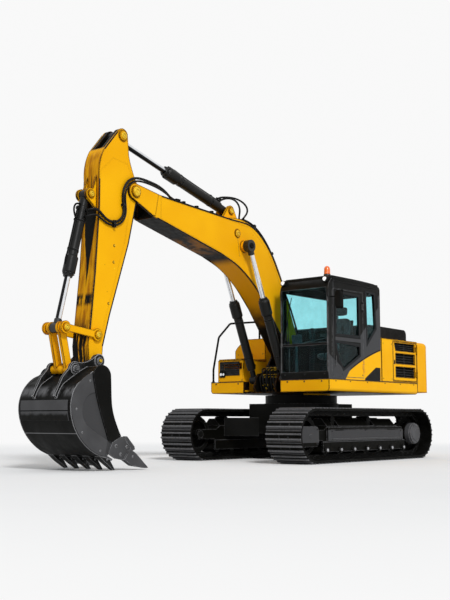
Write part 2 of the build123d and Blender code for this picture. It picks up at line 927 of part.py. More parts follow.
def lower_window():
    return [(140, 1990), (140, 1840), (650, 1590), (780, 1740), (870, 2020)]


def right_window():
    top = cab_glass_top - 30
    return [(-440, 2260), (900, 2000), (960, 2100), (960, top), (-420, top)]


def cab_frame():
    y0 = cab_inner_y
    y1 = house_half_width
    shell = side_plate(cab_outline(0), y0, y1) - side_plate(cab_outline(cab_wall), y0 + cab_wall, y1 - cab_wall)
    shell = shell - block(house_front_x - 200, house_front_x + 10, y0 + 36, y1 - 40, 1530, cab_glass_top)
    shell = shell - block(cab_rear_x - 10, cab_rear_x + 100, y0 + 110, y1 - 110, 2260, cab_glass_top)
    shell = shell - block(250, 850, y0 + 190, y1 - 190, cab_top - 120, cab_top + 10)
    shell = shell - side_plate(door_outline(0), y1 - cab_wall - 1, y1 + 1)
    shell = shell - side_plate(quarter_window(), y1 - cab_wall - 1, y1 + 1)
    shell = shell - side_plate(right_window(), y0 - 1, y0 + cab_wall + 1)
    bar = block(house_front_x - 50, house_front_x - 12, y0 + 35, y1 - 39, sash_bar - 20, sash_bar + 20)
    return fused([shell, bar] + barrels(cab_door_hinge, 1, cab_barrel_heights, False))


def cab_roof_cap():
    """The roof's skin with its rain gutter round the edge."""
    y0 = cab_inner_y
    y1 = house_half_width
    top = cab_top + seat_gap
    dome = contour(
        (cab_rear_x + 80, top),
        [
            ("to", (house_front_x - 112, top)),
            ("arc", (house_front_x - 122, top + 38), (house_front_x - 170, top + 58)),
            ("to", (300, top + 58)),
            ("curve", (-60, top + 53), (cab_rear_x + 150, top + 42)),
        ],
    )
    cap = side_plate(dome, y0 + 30, y1 - 30)
    gutter = side_plate([(cab_rear_x + 90, top), (house_front_x - 130, top), (house_front_x - 140, top + 24), (cab_rear_x + 100, top + 24)], y0 - 14, y1 + 14)
    for y in (y0 - 14, y1 + 14 - 13.7):
        gutter = gutter + block(cab_rear_x + 90, house_front_x - 150, y, y + 13.7, top - 46, top + 1)
    return cap + gutter


def glass():
    y0 = cab_inner_y + 36.5
    y1 = house_half_width - 40.5
    x0 = house_front_x - 44
    front = block(x0, x0 + glass_sheet, y0, y1, 1530.5, sash_bar - 20.5)
    front_top = block(x0 - 4, x0 - 4 + glass_sheet, y0, y1, sash_bar + 20.5, cab_glass_top - 1)
    quarter = side_plate(quarter_window(), house_half_width - 30, house_half_width - 30 + glass_sheet)
    x0 = cab_rear_x + 20
    rear = block(x0, x0 + glass_sheet, cab_inner_y + 110.5, house_half_width - 110.5, 2260.5, cab_glass_top - 0.5)
    z0 = cab_top - 30
    roof = block(250.5, 849.5, cab_inner_y + 190.5, house_half_width - 190.5, z0, z0 + glass_sheet)
    right = side_plate(right_window(), cab_inner_y + 20, cab_inner_y + 20 + glass_sheet)
    return [front, front_top, quarter, rear, roof, right]


def cab_door():
    y0 = house_half_width - cab_wall + 6
    y1 = house_half_width
    panel = side_plate(door_outline(door_gap), y0, y1)
    for window in (upper_window(), lower_window()):
        panel = panel - side_plate(window, y0 - 1, y1 + 1)
    handle = block(door_front_x - 100, door_front_x - 82, y1 - 1, y1 + 34, 1640, 1800)
    grip = block(door_front_x - 100, door_front_x - 82, y1 + 4, y1 + 26, 1658, 1782)
    return fused([panel, handle - Pos(0, -3, 0) * grip] + barrels(cab_door_hinge, 1, cab_barrel_heights, True))


def door_glass():
    y = house_half_width - 28
    return [side_plate(upper_window(), y, y + glass_sheet), side_plate(lower_window(), y, y + glass_sheet)]


def seat():
    y = cab_middle_y
    floor = beam_top + cab_wall
    base = block(0, 420, y - 200, y + 200, floor, floor + 330)
    cushion = fillet(block(-40, 480, y - 260, y + 260, floor + 330, floor + 450).edges(), 30)
    back = side_plate([(-40, floor + 440), (90, floor + 440), (-20, floor + 1130), (-130, floor + 1110)], y - 240, y + 240)
    rest = side_plate([(-30, floor + 1125), (-40, floor + 1310), (-125, floor + 1295), (-125, floor + 1105)], y - 130, y + 130)
    return fused([base, cushion, fillet(back.edges(), 22), fillet(rest.edges(), 18)])


def consoles():
    floor = beam_top + cab_wall
    pieces = []
    for side in (-1, 1):
        near = cab_middle_y + side * 268
        far = cab_middle_y + side * 380
        arm = block(-60, 420, near, far, floor, floor + 620)
        y = (near + far) / 2
        stick = shaft((360, y, floor + 615), (390, y, floor + 820), 16)
        knob = shaft((388, y, floor + 800), (398, y, floor + 900), 30)
        pieces.append(fused([arm, stick, knob]))
        y = cab_middle_y + side * 110
        pedal = shaft((700, y, floor + 8), (640, y, floor + 420), 14)
        pieces.append(pedal + block(690, 850, y - 60, y + 60, floor, floor + 30))
    return pieces


def mirror():
    """Mirror on a bent stem at the cab's left front post, clear of the door."""
    x = house_front_x - 60
    wall = house_half_width + seat_gap
    stem = pipe([(x, wall, cab_top - 330), (x, wall + 190, cab_top - 330), (x, wall + 190, cab_top - 500)], 10, 40)
    head = block(x - 18, x + 20, wall + 118, wall + 262, cab_top - 540, cab_top - 222)
    return stem + fillet(head.edges(), 15)


def beacon():
    x = house_front_x - 230
    y = house_half_width - 170
    foot = cab_top + 58 + 2 * seat_gap
    base = post(x, y, foot, foot + 35, 56)
    lens = turned((x, y, foot + 30), (x, y, foot + 200), [(0, 50), (100, 48), (130, 40), (146, 22)])
    return base + lens


def work_lamps():
    """Round lamps in wedge housings on the roof's front edge."""
    corner_x = house_front_x - 46
    corner_z = cab_top - 62
    profile = [
        (corner_x + 3, corner_z),
        (corner_x - 58, corner_z + 62),
        (corner_x - 20, corner_z + 92),
        (corner_x + 40, corner_z + 70),
        (corner_x + 46, corner_z + 6),
    ]
    pieces = []
    for y in (cab_inner_y + 60, house_half_width - 70):
        lamp = side_plate(profile, y - 46, y + 46) - side_plate(cab_outline(-seat_gap), y - 60, y + 60)
        pieces.append(lamp)
    return pieces


# Boom, arm and bucket


def boom_outline():
    return contour(
        around(nose_pin, 132, -50),
        [
            ("arc", around(nose_pin, 132, 20), around(nose_pin, 132, 95)),
            ("to", (3920, 4235)),
            ("to", (2250, 4132)),
            ("curve", (1590, 4080), (1100, 3730), (690, 3130)),
            ("to", around(foot_pin, 158, 152)),
            ("arc", around(foot_pin, 158, 240), around(foot_pin, 158, 325)),
            ("to", (1180, 2690)),
            ("curve", (1580, 3068), (1980, 3320), (2430, 3480)),
            ("to", (4050, 3862)),
        ],
    )


def boom_hollow():
    return [
        (3900, 4205),
        (2250, 4110),
        (1620, 4050),
        (1150, 3715),
        (900, 3360),
        (600, 2700),
        (640, 2090),
        (1150, 2710),
        (1560, 3105),
        (1970, 3355),
        (2430, 3515),
        (3900, 3860),
    ]


def nose_plate():
    """The thicker casting at the boom's nose, whose edge shows as a step on its side."""
    return contour(
        around(nose_pin, 130, -50),
        [
            ("arc", around(nose_pin, 130, 20), around(nose_pin, 130, 95)),
            ("to", (3960, 4238)),
            ("to", (4030, 3884)),
            ("to", (4090, 3884)),
        ],
    )


def boom():
    body = side_plate(boom_outline(), boom_y - boom_half, boom_y + boom_half)
    inside = boom_half - boom_sheet
    body = body - side_plate(boom_hollow(), boom_y - inside, boom_y + inside)
    fork = arm_half + fork_gap
    body = body - block(4040, 4800, boom_y - fork, boom_y + fork, 3700, 4400)
    pieces = [body] + plates(nose_plate(), boom_half - 1, boom_half + 8)
    pieces = pieces + pin_pair(boom_ram_eye, boom_half - 1, ram_offset - ram_eye_half - seat_gap, 95)
    pieces = pieces + pin_pair((2000, 3900), boom_half - 1, boom_half + 14, 70)
    ear = contour(
        (1840, 4080),
        [
            ("to", around(arm_ram_base, 98, 150)),
            ("arc", around(arm_ram_base, 98, 90), around(arm_ram_base, 98, 25)),
            ("to", (2330, 4090)),
        ],
    )
    pieces = pieces + plates(ear, ear_gap, ear_gap + ear_thickness)
    pieces = pieces + pin_pair(nose_pin, boom_half - 1, boom_half + 34, 88)
    cap = ear_gap + ear_thickness
    pieces.append(pin(arm_ram_base, boom_y - cap, boom_y + cap, ram_pin_radius))
    pieces = pieces + pin_pair(arm_ram_base, cap - 1, cap + 24, 62)
    reach = boom_half + cut_over
    return fused(pieces) - pin(foot_pin, boom_y - reach, boom_y + reach, foot_radius + seat_gap)


def boom_pipes():
    """Two oil pipes in clamps along the boom's back and top."""
    path = Spline((590, 0, 3060), (1048, 0, 3780), (1562, 0, 4146), (1806, 0, 4182))
    hull = side_plate(boom_outline(), boom_y - boom_half, boom_y + boom_half)
    low = boom_y + pipe_offsets[0]
    high = boom_y + pipe_offsets[1]
    pieces = []
    for y in (low, high):
        run = sweep(Plane(origin=path @ 0, z_dir=path % 0) * Circle(pipe_radius), path=path)
        pieces.append(Pos(0, y, 0) * run)
    for share in (0.04, 0.42, 0.80):
        spot = path @ share
        along = path % share
        level = Plane(origin=(spot.X, (low + high) / 2, spot.Z), x_dir=along, z_dir=(0, 1, 0))
        clamp = level * Pos(0, 25, 0) * Box(46, 100, high - low + 60) - hull
        pieces.append(Pos(-along.Z * seat_gap, 0, along.X * seat_gap) * clamp)
    return fused(pieces)


def arm_outline():
    return contour(
        around(arm_ram_eye, 116, 50),
        [
            ("arc", around(arm_ram_eye, 116, 100), around(arm_ram_eye, 116, 155)),
            ("to", (4577, 4740)),
            ("curve", (4470, 4460), around(nose_pin, 140, 135)),
            ("arc", around(nose_pin, 140, 185), around(nose_pin, 140, 240)),
            ("to", (4560, 3370)),
            ("to", (4930, 2250)),
            ("to", (5060, 1780)),
            ("to", around(bucket_pin, 130, 197)),
            ("arc", around(bucket_pin, 130, 270), around(bucket_pin, 130, 12)),
            ("to", (5350, 1780)),
            ("to", (5240, 2880)),
            ("to", (5182, 3830)),
            ("to", (5184, 4270)),
            ("curve", (5158, 4590), (5090, 4750)),
        ],
    )


def arm_hollow():
    return [(4600, 4600), (4480, 4370), (4640, 3400), (5090, 1960), (5290, 2000), (5165, 3830), (5160, 4400), (4900, 4640)]


def arm():
    body = side_plate(arm_outline(), boom_y - arm_half, boom_y + arm_half)
    inside = arm_half - arm_sheet
    body = body - side_plate(arm_hollow(), boom_y - inside, boom_y + inside)
    slot = [(4300, 4760), (4560, 4700), (4830, 4700), (5300, 4860), (5300, 5400), (4300, 5400)]
    reach = inner_eye_half + seat_gap
    pieces = [body - side_plate(slot, boom_y - reach, boom_y + reach)]
    pieces = pieces + pin_pair(arm_ram_eye, arm_half - 1, arm_half + 24, 82)
    pieces = pieces + pin_pair(nose_pin, arm_half - 1, arm_half + fork_gap - seat_gap, 100)
    pieces = pieces + pin_pair(idler_pin, arm_half - 1, arm_half + fork_gap - seat_gap, 70)
    ear = contour(
        (5140, 4600),
        [
            ("curve", (5190, 4330), around(bucket_ram_base, 96, 115)),
            ("arc", around(bucket_ram_base, 96, 20), around(bucket_ram_base, 96, -65)),
            ("to", (5140, 3780)),
        ],
    )
    pieces = pieces + plates(ear, ear_gap, ear_gap + ear_thickness)
    cap = ear_gap + ear_thickness
    pieces.append(pin(bucket_ram_base, boom_y - cap, boom_y + cap, ram_pin_radius))
    return fused(pieces + pin_pair(bucket_ram_base, cap - 1, cap + 22, 60))


def ram_tube(base, eye, middle, radius, rod_radius, base_radius, eye_half, length):
    """Cylinder tube with its base eye and its gland head, pointing at the rod's eye."""
    start = (base[0], middle, base[1])
    end = (eye[0], middle, eye[1])
    neck = min(radius, eye_half - 5)
    head = radius * 1.26
    profile = [
        (base_radius * 0.85, neck),
        (base_radius + 112, neck),
        (base_radius + 128, radius),
        (length - 330, radius),
        (length - 300, head),
        (length - 70, head),
        (length - 40, radius * 0.98),
        (length, radius * 0.90),
    ]
    tube = turned(start, end, profile) + pin(base, middle - eye_half, middle + eye_half, base_radius)
    tube = tube - pin(base, middle - eye_half - 1, middle + eye_half + 1, ram_pin_radius + seat_gap)
    bore = [(base_radius + 60, rod_radius + 0.4), (length + 10, rod_radius + 0.4)]
    return tube - turned(start, end, bore)


def ram_rod(base, eye, middle, radius, eye_radius, eye_half, inside):
    length = math.dist(base, eye)
    profile = [
        (inside, radius),
        (length - eye_radius - 60, radius),
        (length - eye_radius - 50, radius + 12),
        (length - eye_radius * 0.7, radius + 12),
    ]
    rod = turned((base[0], middle, base[1]), (eye[0], middle, eye[1]), profile)
    return rod + pin(eye, middle - eye_half, middle + eye_half, eye_radius)


def idler_links():
    pieces = []
    for side in (-1, 1):
        near = boom_y + side * (arm_half + fork_gap)
        far = near + side * 32
        cap = far + side * 20
        stub = boom_y + side * (link_plate_outer + seat_gap)
        link = bar(idler_pin, link_pin, 52, 92, 92, near, far)
        link = link + pin(idler_pin, near, cap, 58) + pin(link_pin, stub, cap, 58)
        pieces.append(link)
    return pieces


def h_link():
    barrel = bucket_ear_inner - seat_gap
    pieces = [pin(ear_pin, boom_y - barrel, boom_y + barrel, 62)]
    for side in (-1, 1):
        near = boom_y + side * link_plate_inner
        far = boom_y + side * link_plate_outer
        pieces.append(bar(link_pin, ear_pin, 58, 88, 62, near, far))
    return fused(pieces)


# Bucket


def back_points(grow):
    """The bucket's outer back from its top plate to its lip, moved outwards by grow."""
    points = [(5610, 1375), (5860, 1215), (5992, 930), (5955, 680), (5740, 378), (5330, 185)]
    moved = []
    last = len(points) - 1
    for number, (x, z) in enumerate(points):
        a = points[max(number - 1, 0)]
        b = points[min(number + 1, last)]
        length = math.dist(a, b)
        moved.append((x - (b[1] - a[1]) / length * grow, z + (b[0] - a[0]) / length * grow))
    return moved


def mouth_points():
    """The side plate's edge at the mouth, from top to bottom."""
    return [(5262, 1100), (5235, 860), (5150, 640), (5062, 482)]


def bucket_profile(grow):
    back = back_points(grow)
    top = (5430, 1465 + grow)
    return contour(
        (5275, 1345),
        [("to", (5310, 1400 + grow)), ("to", top), ("to", back[0]), ("to", back[1]), ("curve", *back[2:]), ("to", (5062, 482)), ("curve", *mouth_points()[-2::-1], (5275, 1345))],
    )


def bucket_inside():
    back = back_points(-bucket_sheet)
    return contour(
        (4900, 1100),
        [("to", (5290, 1376)), ("to", (5428, 1440)), ("to", back[0]), ("to", back[1]), ("curve", *back[2:]), ("to", (5230, 120)), ("to", (4900, 120))],
    )


def bucket_ear():
    return contour(
        around(bucket_pin, 100, 215),
        [
            ("arc", around(bucket_pin, 100, 140), around(bucket_pin, 100, 65)),
            ("curve", (5440, 1536), around(ear_pin, 105, 115)),
            ("arc", around(ear_pin, 105, 60), around(ear_pin, 105, 5)),
            ("to", (5880, 1310)),
            ("to", (6020, 1045)),
            ("to", (5968, 1000)),
            ("to", (5830, 1232)),
            ("to", (5600, 1368)),
            ("to", (5430, 1450)),
            ("to", (5300, 1395)),
            ("to", (5180, 1440)),
        ],
    )


def bucket_shell():
    solid = side_plate(bucket_profile(0), boom_y - bucket_half, boom_y + bucket_half)
    inner = bucket_half - bucket_side
    shell = solid - side_plate(bucket_inside(), boom_y - inner, boom_y + inner)
    lip = [(5500, 262), (5330, 185), (5215, 140), (5205, 166), (5320, 220), (5490, 292)]
    pieces = [shell, side_plate(lip, boom_y - bucket_half, boom_y + bucket_half)]
    ear_outer = bucket_ear_inner + bucket_ear_plate
    pieces = pieces + plates(bucket_ear(), bucket_ear_inner, ear_outer)
    pieces = pieces + pin_pair(bucket_pin, arm_half + seat_gap, ear_outer + 8, 92)
    pieces = pieces + pin_pair(bucket_pin, ear_outer, ear_outer + 26, 46)
    pieces = pieces + pin_pair(ear_pin, bucket_ear_inner, ear_outer + 8, 78)
    pieces = pieces + pin_pair(ear_pin, ear_outer, ear_outer + 26, 46)
    return fused(pieces)


def crescent():
    back = back_points(-7)
    return contour(
        (5640, 1350),
        [("curve", *back[1:-1], (5372, 208)), ("to", (5316, 425)), ("curve", (5600, 570), (5785, 760), (5770, 950), (5566, 1090))],
    )


def wear_plates():
    """Raised plates on the bucket: a crescent on each side and two bands across the back."""
    pieces = plates(crescent(), bucket_half + seat_gap, bucket_half + wear_sheet)
    inner = bucket_half - 60
    solid = side_plate(bucket_profile(0), boom_y - bucket_half, boom_y + bucket_half)
    band = side_plate(bucket_profile(wear_sheet), boom_y - inner, boom_y + inner) - solid
    for low, high in ((845, 985), (700, 830)):
        pieces.append(band & block(5800, 6100, boom_y - inner, boom_y + inner, low, high))
    return pieces


def edge_strips():
    """Thick strips along the mouth's side edges."""
    outline = contour(
        (5275, 1345),
        [
            ("curve", *mouth_points()),
            ("to", (5240, 404)),
            ("to", (5300, 420)),
            ("curve", (5430, 740), (5540, 1050), (5604, 1350)),
            ("arc", (5470, 1474), (5275, 1345)),
        ],
    )
    return plates(outline, bucket_half + seat_gap, bucket_half + 22)


def bucket_teeth():
    """Five long teeth under the lip, narrowing to their tips."""
    lip = bucket_shell()
    profile = [(5440, 238), (5270, 190), (5135, 22), (5128, 6), (5162, 8), (5350, 134), (5440, 205)]
    pieces = []
    for number in range(tooth_count):
        y = boom_y - tooth_spread + number * 2 * tooth_spread / (tooth_count - 1)
        plan = [(5100, y - 26), (5300, y - 54), (5460, y - 54), (5460, y + 54), (5300, y + 54), (5100, y + 26)]
        tooth = side_plate(profile, y - 60, y + 60) & floor_plate(plan, -10, 400)
        pieces.append((tooth - lip).solids().sort_by(SortBy.VOLUME)[-1])
    return pieces


def side_cutters():
    plate_outline = [(5232, 398), (5060, 476), (4990, 452), (4835, 270), (4870, 120), (5180, 172), (5310, 245)]
    tooth_outline = [(4905, 300), (4790, 235), (4560, 40), (4545, 22), (4580, 18), (4860, 60), (5020, 150)]
    shroud = [(4998, 470), (4960, 480), (4808, 332), (4800, 292), (4850, 270), (4950, 380)]
    pieces = []
    for side in (-1, 1):
        middle = boom_y + side * bucket_half
        cutter = side_plate(plate_outline, middle + side * seat_gap, middle + side * 26)
        cutter = cutter + side_plate(shroud, middle - side * 40, middle + side * 36)
        pieces.append(cutter + side_plate(tooth_outline, middle - side * 30, middle + side * 52))
    return pieces


# Output


def build_rams():
    for name, side in (("left", 1), ("right", -1)):
        middle = boom_y + side * ram_offset
        save("boom_ram_tube_" + name, ram_tube(boom_ram_base, boom_ram_eye, middle, 78, 43, 78, ram_eye_half, 1520))
        save("boom_ram_rod_" + name, ram_rod(boom_ram_base, boom_ram_eye, middle, 43, 105, ram_eye_half, 640))
    save("arm_ram_tube", ram_tube(arm_ram_base, arm_ram_eye, boom_y, 86, 47, 82, inner_eye_half, 1615))
    save("arm_ram_rod", ram_rod(arm_ram_base, arm_ram_eye, boom_y, 47, 88, inner_eye_half, 800))
    save("bucket_ram_tube", ram_tube(bucket_ram_base, link_pin, boom_y, 76, 44, 76, inner_eye_half, 1300))
    save("bucket_ram_rod", ram_rod(bucket_ram_base, link_pin, boom_y, 44, 76, inner_eye_half, 530))


def build_undercarriage():
    save("car_body", car_body())
    save("slew_ring", slew_ring())
    for name, side in (("left", 1), ("right", -1)):
        save("track_" + name, track(side * track_y))
        save("track_frame_" + name, track_frame(side))
        save("idler_wheel_" + name, idler_wheel(side * track_y))
        save("sprocket_" + name, sprocket_wheel(side))
        save("final_drive_" + name, final_drive(side))
    save("bottom_rollers", bottom_rollers(1) + bottom_rollers(-1))
    save("carrier_rollers", carrier_rollers(1) + carrier_rollers(-1))


def build_house():
    save("swing_frame", swing_frame())
    save("foot_pin", boom_foot_pin())
    save("counterweight", counterweight())
    save("engine", engine())
    save("hood_seat", hood_seat())
    save("engine_hood", engine_hood())
    save("tank", tank())
    save("tool_box", tool_box())
    save("tool_box_lid", tool_box_lid())
    save("handrail", handrail())
    save("exhaust", exhaust())
    for name, side in (("left", 1), ("right", -1)):
        save("side_body_" + name, side_body(side))
        save("side_door_" + name, louvred_door(side))
        save("louvres_" + name, louvres(side))


def build_cab():
    save("cab_frame", cab_frame())
    save("cab_roof_cap", cab_roof_cap())
    save("cab_glass", glass())
    save("cab_door", cab_door())
    save("door_glass", door_glass())
    save("seat", seat())
    save("consoles", consoles())
    save("mirror", mirror())
    save("beacon", beacon())
    save("work_lamps", work_lamps())


def build_front():
    save("boom", boom())
    save("boom_pipes", boom_pipes())
    save("arm", arm())
    save("idler_links", idler_links())
    save("h_link", h_link())
    save("bucket_shell", bucket_shell())
    save("bucket_wear_plates", wear_plates())
    save("bucket_teeth", bucket_teeth())
    save("side_cutters", side_cutters())
    save("edge_strips", edge_strips())


build_undercarriage()
build_house()
build_cab()
build_front()
build_rams()
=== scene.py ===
import json
import math

import bmesh
import bpy
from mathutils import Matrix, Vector


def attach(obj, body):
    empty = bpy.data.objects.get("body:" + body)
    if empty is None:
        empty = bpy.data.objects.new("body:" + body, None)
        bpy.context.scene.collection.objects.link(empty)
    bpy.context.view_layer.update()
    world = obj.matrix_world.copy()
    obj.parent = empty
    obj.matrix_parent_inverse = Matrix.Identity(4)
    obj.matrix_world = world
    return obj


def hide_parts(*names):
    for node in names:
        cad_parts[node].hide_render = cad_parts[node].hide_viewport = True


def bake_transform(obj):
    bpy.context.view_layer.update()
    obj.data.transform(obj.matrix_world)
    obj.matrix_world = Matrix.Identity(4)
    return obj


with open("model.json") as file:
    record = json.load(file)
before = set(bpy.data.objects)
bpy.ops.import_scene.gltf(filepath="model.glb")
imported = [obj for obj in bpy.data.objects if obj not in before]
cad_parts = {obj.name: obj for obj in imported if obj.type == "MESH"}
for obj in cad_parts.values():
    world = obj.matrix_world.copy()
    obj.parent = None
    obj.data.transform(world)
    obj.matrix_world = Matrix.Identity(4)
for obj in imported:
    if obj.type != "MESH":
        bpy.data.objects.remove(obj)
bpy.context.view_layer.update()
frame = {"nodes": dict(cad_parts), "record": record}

# Camera and picture
CAMERA_PLACE = (14.848, 10.654, 0.716)
CAMERA_YAW = 220.086
CAMERA_PITCH = 6.963
CAMERA_LENS = 58.74
SENSOR = 36.0

# Undercarriage, in metres, as in the frame
AXLE_X = 1.7
AXLE_Z = 0.457
TRACK_Y = 1.175
GROUSER_TIP = 0.444
PLATE_TOP = 0.433
SHOES = 50
SHOE_FACE = 0.419
SHOE_PLATE = 0.014
ROLLERS = 7
ROLLER_FIRST_X = -1.23
ROLLER_STEP = 0.415
ROLLER_Z = 0.214
ROLLER_HALF = 0.2043
GUARD = 0.0306
CAP = 0.022
CHAIN_RADIUS = 0.361
CHAIN_FACE = 0.112
PANEL_FACE = 1.4233
PANEL_BOTTOM = 0.35

# House and cab
HALF = 1.373
CAB_Y = 0.357
BEAM_TOP = 1.4
DECK_Z = 1.2145
CAB_FLOOR = 1.4515
TANK_Z = 2.2395
HOOD_Z = 2.4795
BOX_FACE = 0.956
SEAT_Y = 0.865
CAB_TOP = 3.122

# Boom plane, and pins as (x, z)
BOOM_Y = -0.09
FOOT = (0.3, 1.87)
NOSE = (4.469, 4.19)
RAM_BASE = (0.85, 1.43)
RAM_EYE = (1.83, 3.69)
ARM_BASE = (2.067, 4.295)
ARM_EYE = (4.715, 5.024)
BUCKET_PIN = (5.202, 1.557)
IDLER_PIN = (5.196, 1.938)
LINK_PIN = (5.8, 2.01)
EAR_PIN = (5.657, 1.425)
BUCKET_BASE = (5.295, 4.024)
RAM_OFFSET = 0.335
BOOM_FLANGE = (0.2095, 0.216)
ARM_FLANGE = (0.1695, 0.1735)

# Hoses, by radius
HOSE = 0.0165
BIG_HOSE = 0.02
SMALL_HOSE = 0.015

# Directions and sides
UP = (0, 0, 1)
FORWARD = (1, 0, 0)
LEFT = (0, 1, 0)
SIDES = (("left", 1), ("right", -1))

# Colours
YELLOW = (0.9, 0.455, 0.003)
YELLOW_DEEP = (0.83, 0.385, 0.002)
# AMBER_SHADE and AMBER_LIGHT are painted shade on the yellow paint
AMBER_SHADE = (0.37, 0.135, 0.001)
AMBER_LIGHT = (0.6, 0.245, 0.001)
RUST = (0.06, 0.022, 0.004)
# INK is near black, for black parts and for painted shade
INK = (0.0022, 0.0021, 0.0014)
BLACK = (0.0035, 0.0035, 0.003)
BLACK_SOFT = (0.0075, 0.0075, 0.007)
CAB_GREY = (0.05, 0.051, 0.054)
PANEL_GREY = (0.052, 0.052, 0.054)
# The next grey is a painted highlight along the edges of black paint
EDGE_HIGHLIGHT_GREY = (0.17, 0.17, 0.175)
# The next two greys are worn steel, and also painted highlights on edges and the bucket's back
STEEL_GREY = (0.13, 0.13, 0.135)
PALE_GREY = (0.34, 0.34, 0.35)
CHROME = (0.8, 0.815, 0.835)
GLASS_TINT = (0.52, 0.83, 0.86)
AMBER = (0.95, 0.17, 0.004)
LAMP_WHITE = (0.86, 0.87, 0.87)
SEAT_CLOTH = (0.02, 0.022, 0.026)
RUBBER = (0.004, 0.004, 0.004)


# Materials


class Shader:
    """A small helper that adds nodes and joins them."""

    def __init__(self, name):
        self.material = bpy.data.materials.new(name)
        self.material.use_nodes = True
        self.tree = self.material.node_tree
        self.bsdf = self.tree.nodes["Principled BSDF"]
        texture = self.add("ShaderNodeTexCoord")
        self.place = texture.outputs["Object"]
        self.facing = texture.outputs["Normal"]

    def add(self, kind, **values):
        node = self.tree.nodes.new(kind)
        for key, value in values.items():
            setattr(node, key, value)
        return node

    def join(self, output, socket):
        self.tree.links.new(output, socket)

    def noise(self, scale, detail=4.0, roughness=0.55, stretch=None):
        node = self.add("ShaderNodeTexNoise")
        node.inputs["Scale"].default_value = scale
        node.inputs["Detail"].default_value = detail
        node.inputs["Roughness"].default_value = roughness
        place = self.place
        if stretch:
            mapping = self.add("ShaderNodeMapping")
            mapping.inputs["Scale"].default_value = stretch
            self.join(place, mapping.inputs["Vector"])
            place = mapping.outputs["Vector"]
        self.join(place, node.inputs["Vector"])
        return node.outputs["Fac"]

    def ramp(self, value, low, high, out_low=0.0, out_high=1.0):
        node = self.add("ShaderNodeMapRange")
        node.interpolation_type = "SMOOTHSTEP"
        node.inputs["From Min"].default_value = low
        node.inputs["From Max"].default_value = high
        node.inputs["To Min"].default_value = out_low
        node.inputs["To Max"].default_value = out_high
        self.join(value, node.inputs["Value"])
        return node.outputs["Result"]

    def math(self, operation, a, b=None):
        node = self.add("ShaderNodeMath", operation=operation)
        for socket, value in zip(node.inputs, (a, b)):
            if value is None:
                continue
            if isinstance(value, (int, float)):
                socket.default_value = value
            else:
                self.join(value, socket)
        return node.outputs["Value"]

    def all_of(self, *values):
        result = values[0]
        for value in values[1:]:
            result = self.math("MULTIPLY", result, value)
        return result

    def any_of(self, *values):
        result = values[0]
        for value in values[1:]:
            result = self.math("MAXIMUM", result, value)
        return result

    def plus(self, a, b):
        return self.math("ADD", a, b)

    def minus(self, a, b):
        return self.math("SUBTRACT", a, b)

    def size(self, value):
        return self.math("ABSOLUTE", value)

    def off(self, a, b):
        return self.size(self.minus(a, b))

    def mottled(self, scale, detail, a, b):
        """Two colours in soft patches."""
        return self.mix(self.ramp(self.noise(scale, detail), 0.35, 0.7), a, b)

    def wave(self, direction, scale):
        node = self.add("ShaderNodeTexWave", wave_type="BANDS", bands_direction=direction)
        node.inputs["Scale"].default_value = scale
        self.join(self.place, node.inputs["Vector"])
        return node.outputs["Fac"]

    def mix(self, factor, a, b):
        node = self.add("ShaderNodeMix", data_type="RGBA")
        for socket, value in zip((node.inputs[0], node.inputs[6], node.inputs[7]), (factor, a, b)):
            if isinstance(value, (int, float)):
                socket.default_value = value
            elif isinstance(value, tuple):
                socket.default_value = value if len(value) == 4 else (*value, 1.0)
            else:
                self.join(value, socket)
        return node.outputs[2]

    def axes(self, vector=None):
        node = self.add("ShaderNodeSeparateXYZ")
        self.join(vector or self.place, node.inputs[0])
        return node.outputs[0], node.outputs[1], node.outputs[2]

    def round_normal(self, radius):
        bevel = self.add("ShaderNodeBevel", samples=6)
        bevel.inputs["Radius"].default_value = radius
        return bevel.outputs["Normal"]

    def edges(self, radius, low=0.02, high=0.2):
        """1 along convex and concave edges, 0 on flat faces."""
        geometry = self.add("ShaderNodeNewGeometry")
        dot = self.add("ShaderNodeVectorMath", operation="DOT_PRODUCT")
        self.join(self.round_normal(radius), dot.inputs[0])
        self.join(geometry.outputs["Normal"], dot.inputs[1])
        return self.ramp(self.math("SUBTRACT", 1.0, dot.outputs["Value"]), low, high)

    def bump(self, height, strength, distance=0.002, round_edge=0.004):
        node = self.add("ShaderNodeBump")
        node.inputs["Strength"].default_value = strength
        node.inputs["Distance"].default_value = distance
        self.join(height, node.inputs["Height"])
        if round_edge:
            self.join(self.round_normal(round_edge), node.inputs["Normal"])
        self.join(node.outputs["Normal"], self.bsdf.inputs["Normal"])

    def finish(self, colour, roughness, metallic=0.0, coat=0.0, specular=0.5):
        self.join(colour, self.bsdf.inputs["Base Color"])
        if isinstance(roughness, float):
            self.bsdf.inputs["Roughness"].default_value = roughness
        else:
            self.join(roughness, self.bsdf.inputs["Roughness"])
        self.bsdf.inputs["Metallic"].default_value = metallic
        self.bsdf.inputs["Coat Weight"].default_value = coat
        self.bsdf.inputs["Specular IOR Level"].default_value = specular
        return self.material


def scaled(colour, share):
    return tuple(share * c for c in colour)


def wear(s, density=0.665):
    """Chips and long scratches, 1 where the paint is gone."""
    spots = s.ramp(s.noise(21.0, 8.0, 0.72), density, density + 0.02)
    zones = s.ramp(s.noise(2.3, 3.0), 0.5, 0.62)
    scratch = s.ramp(s.noise(8.0, 5.0, 0.7, (1.0, 1.0, 9.0)), density + 0.04, density + 0.06)
    return s.all_of(s.any_of(spots, scratch), zones)


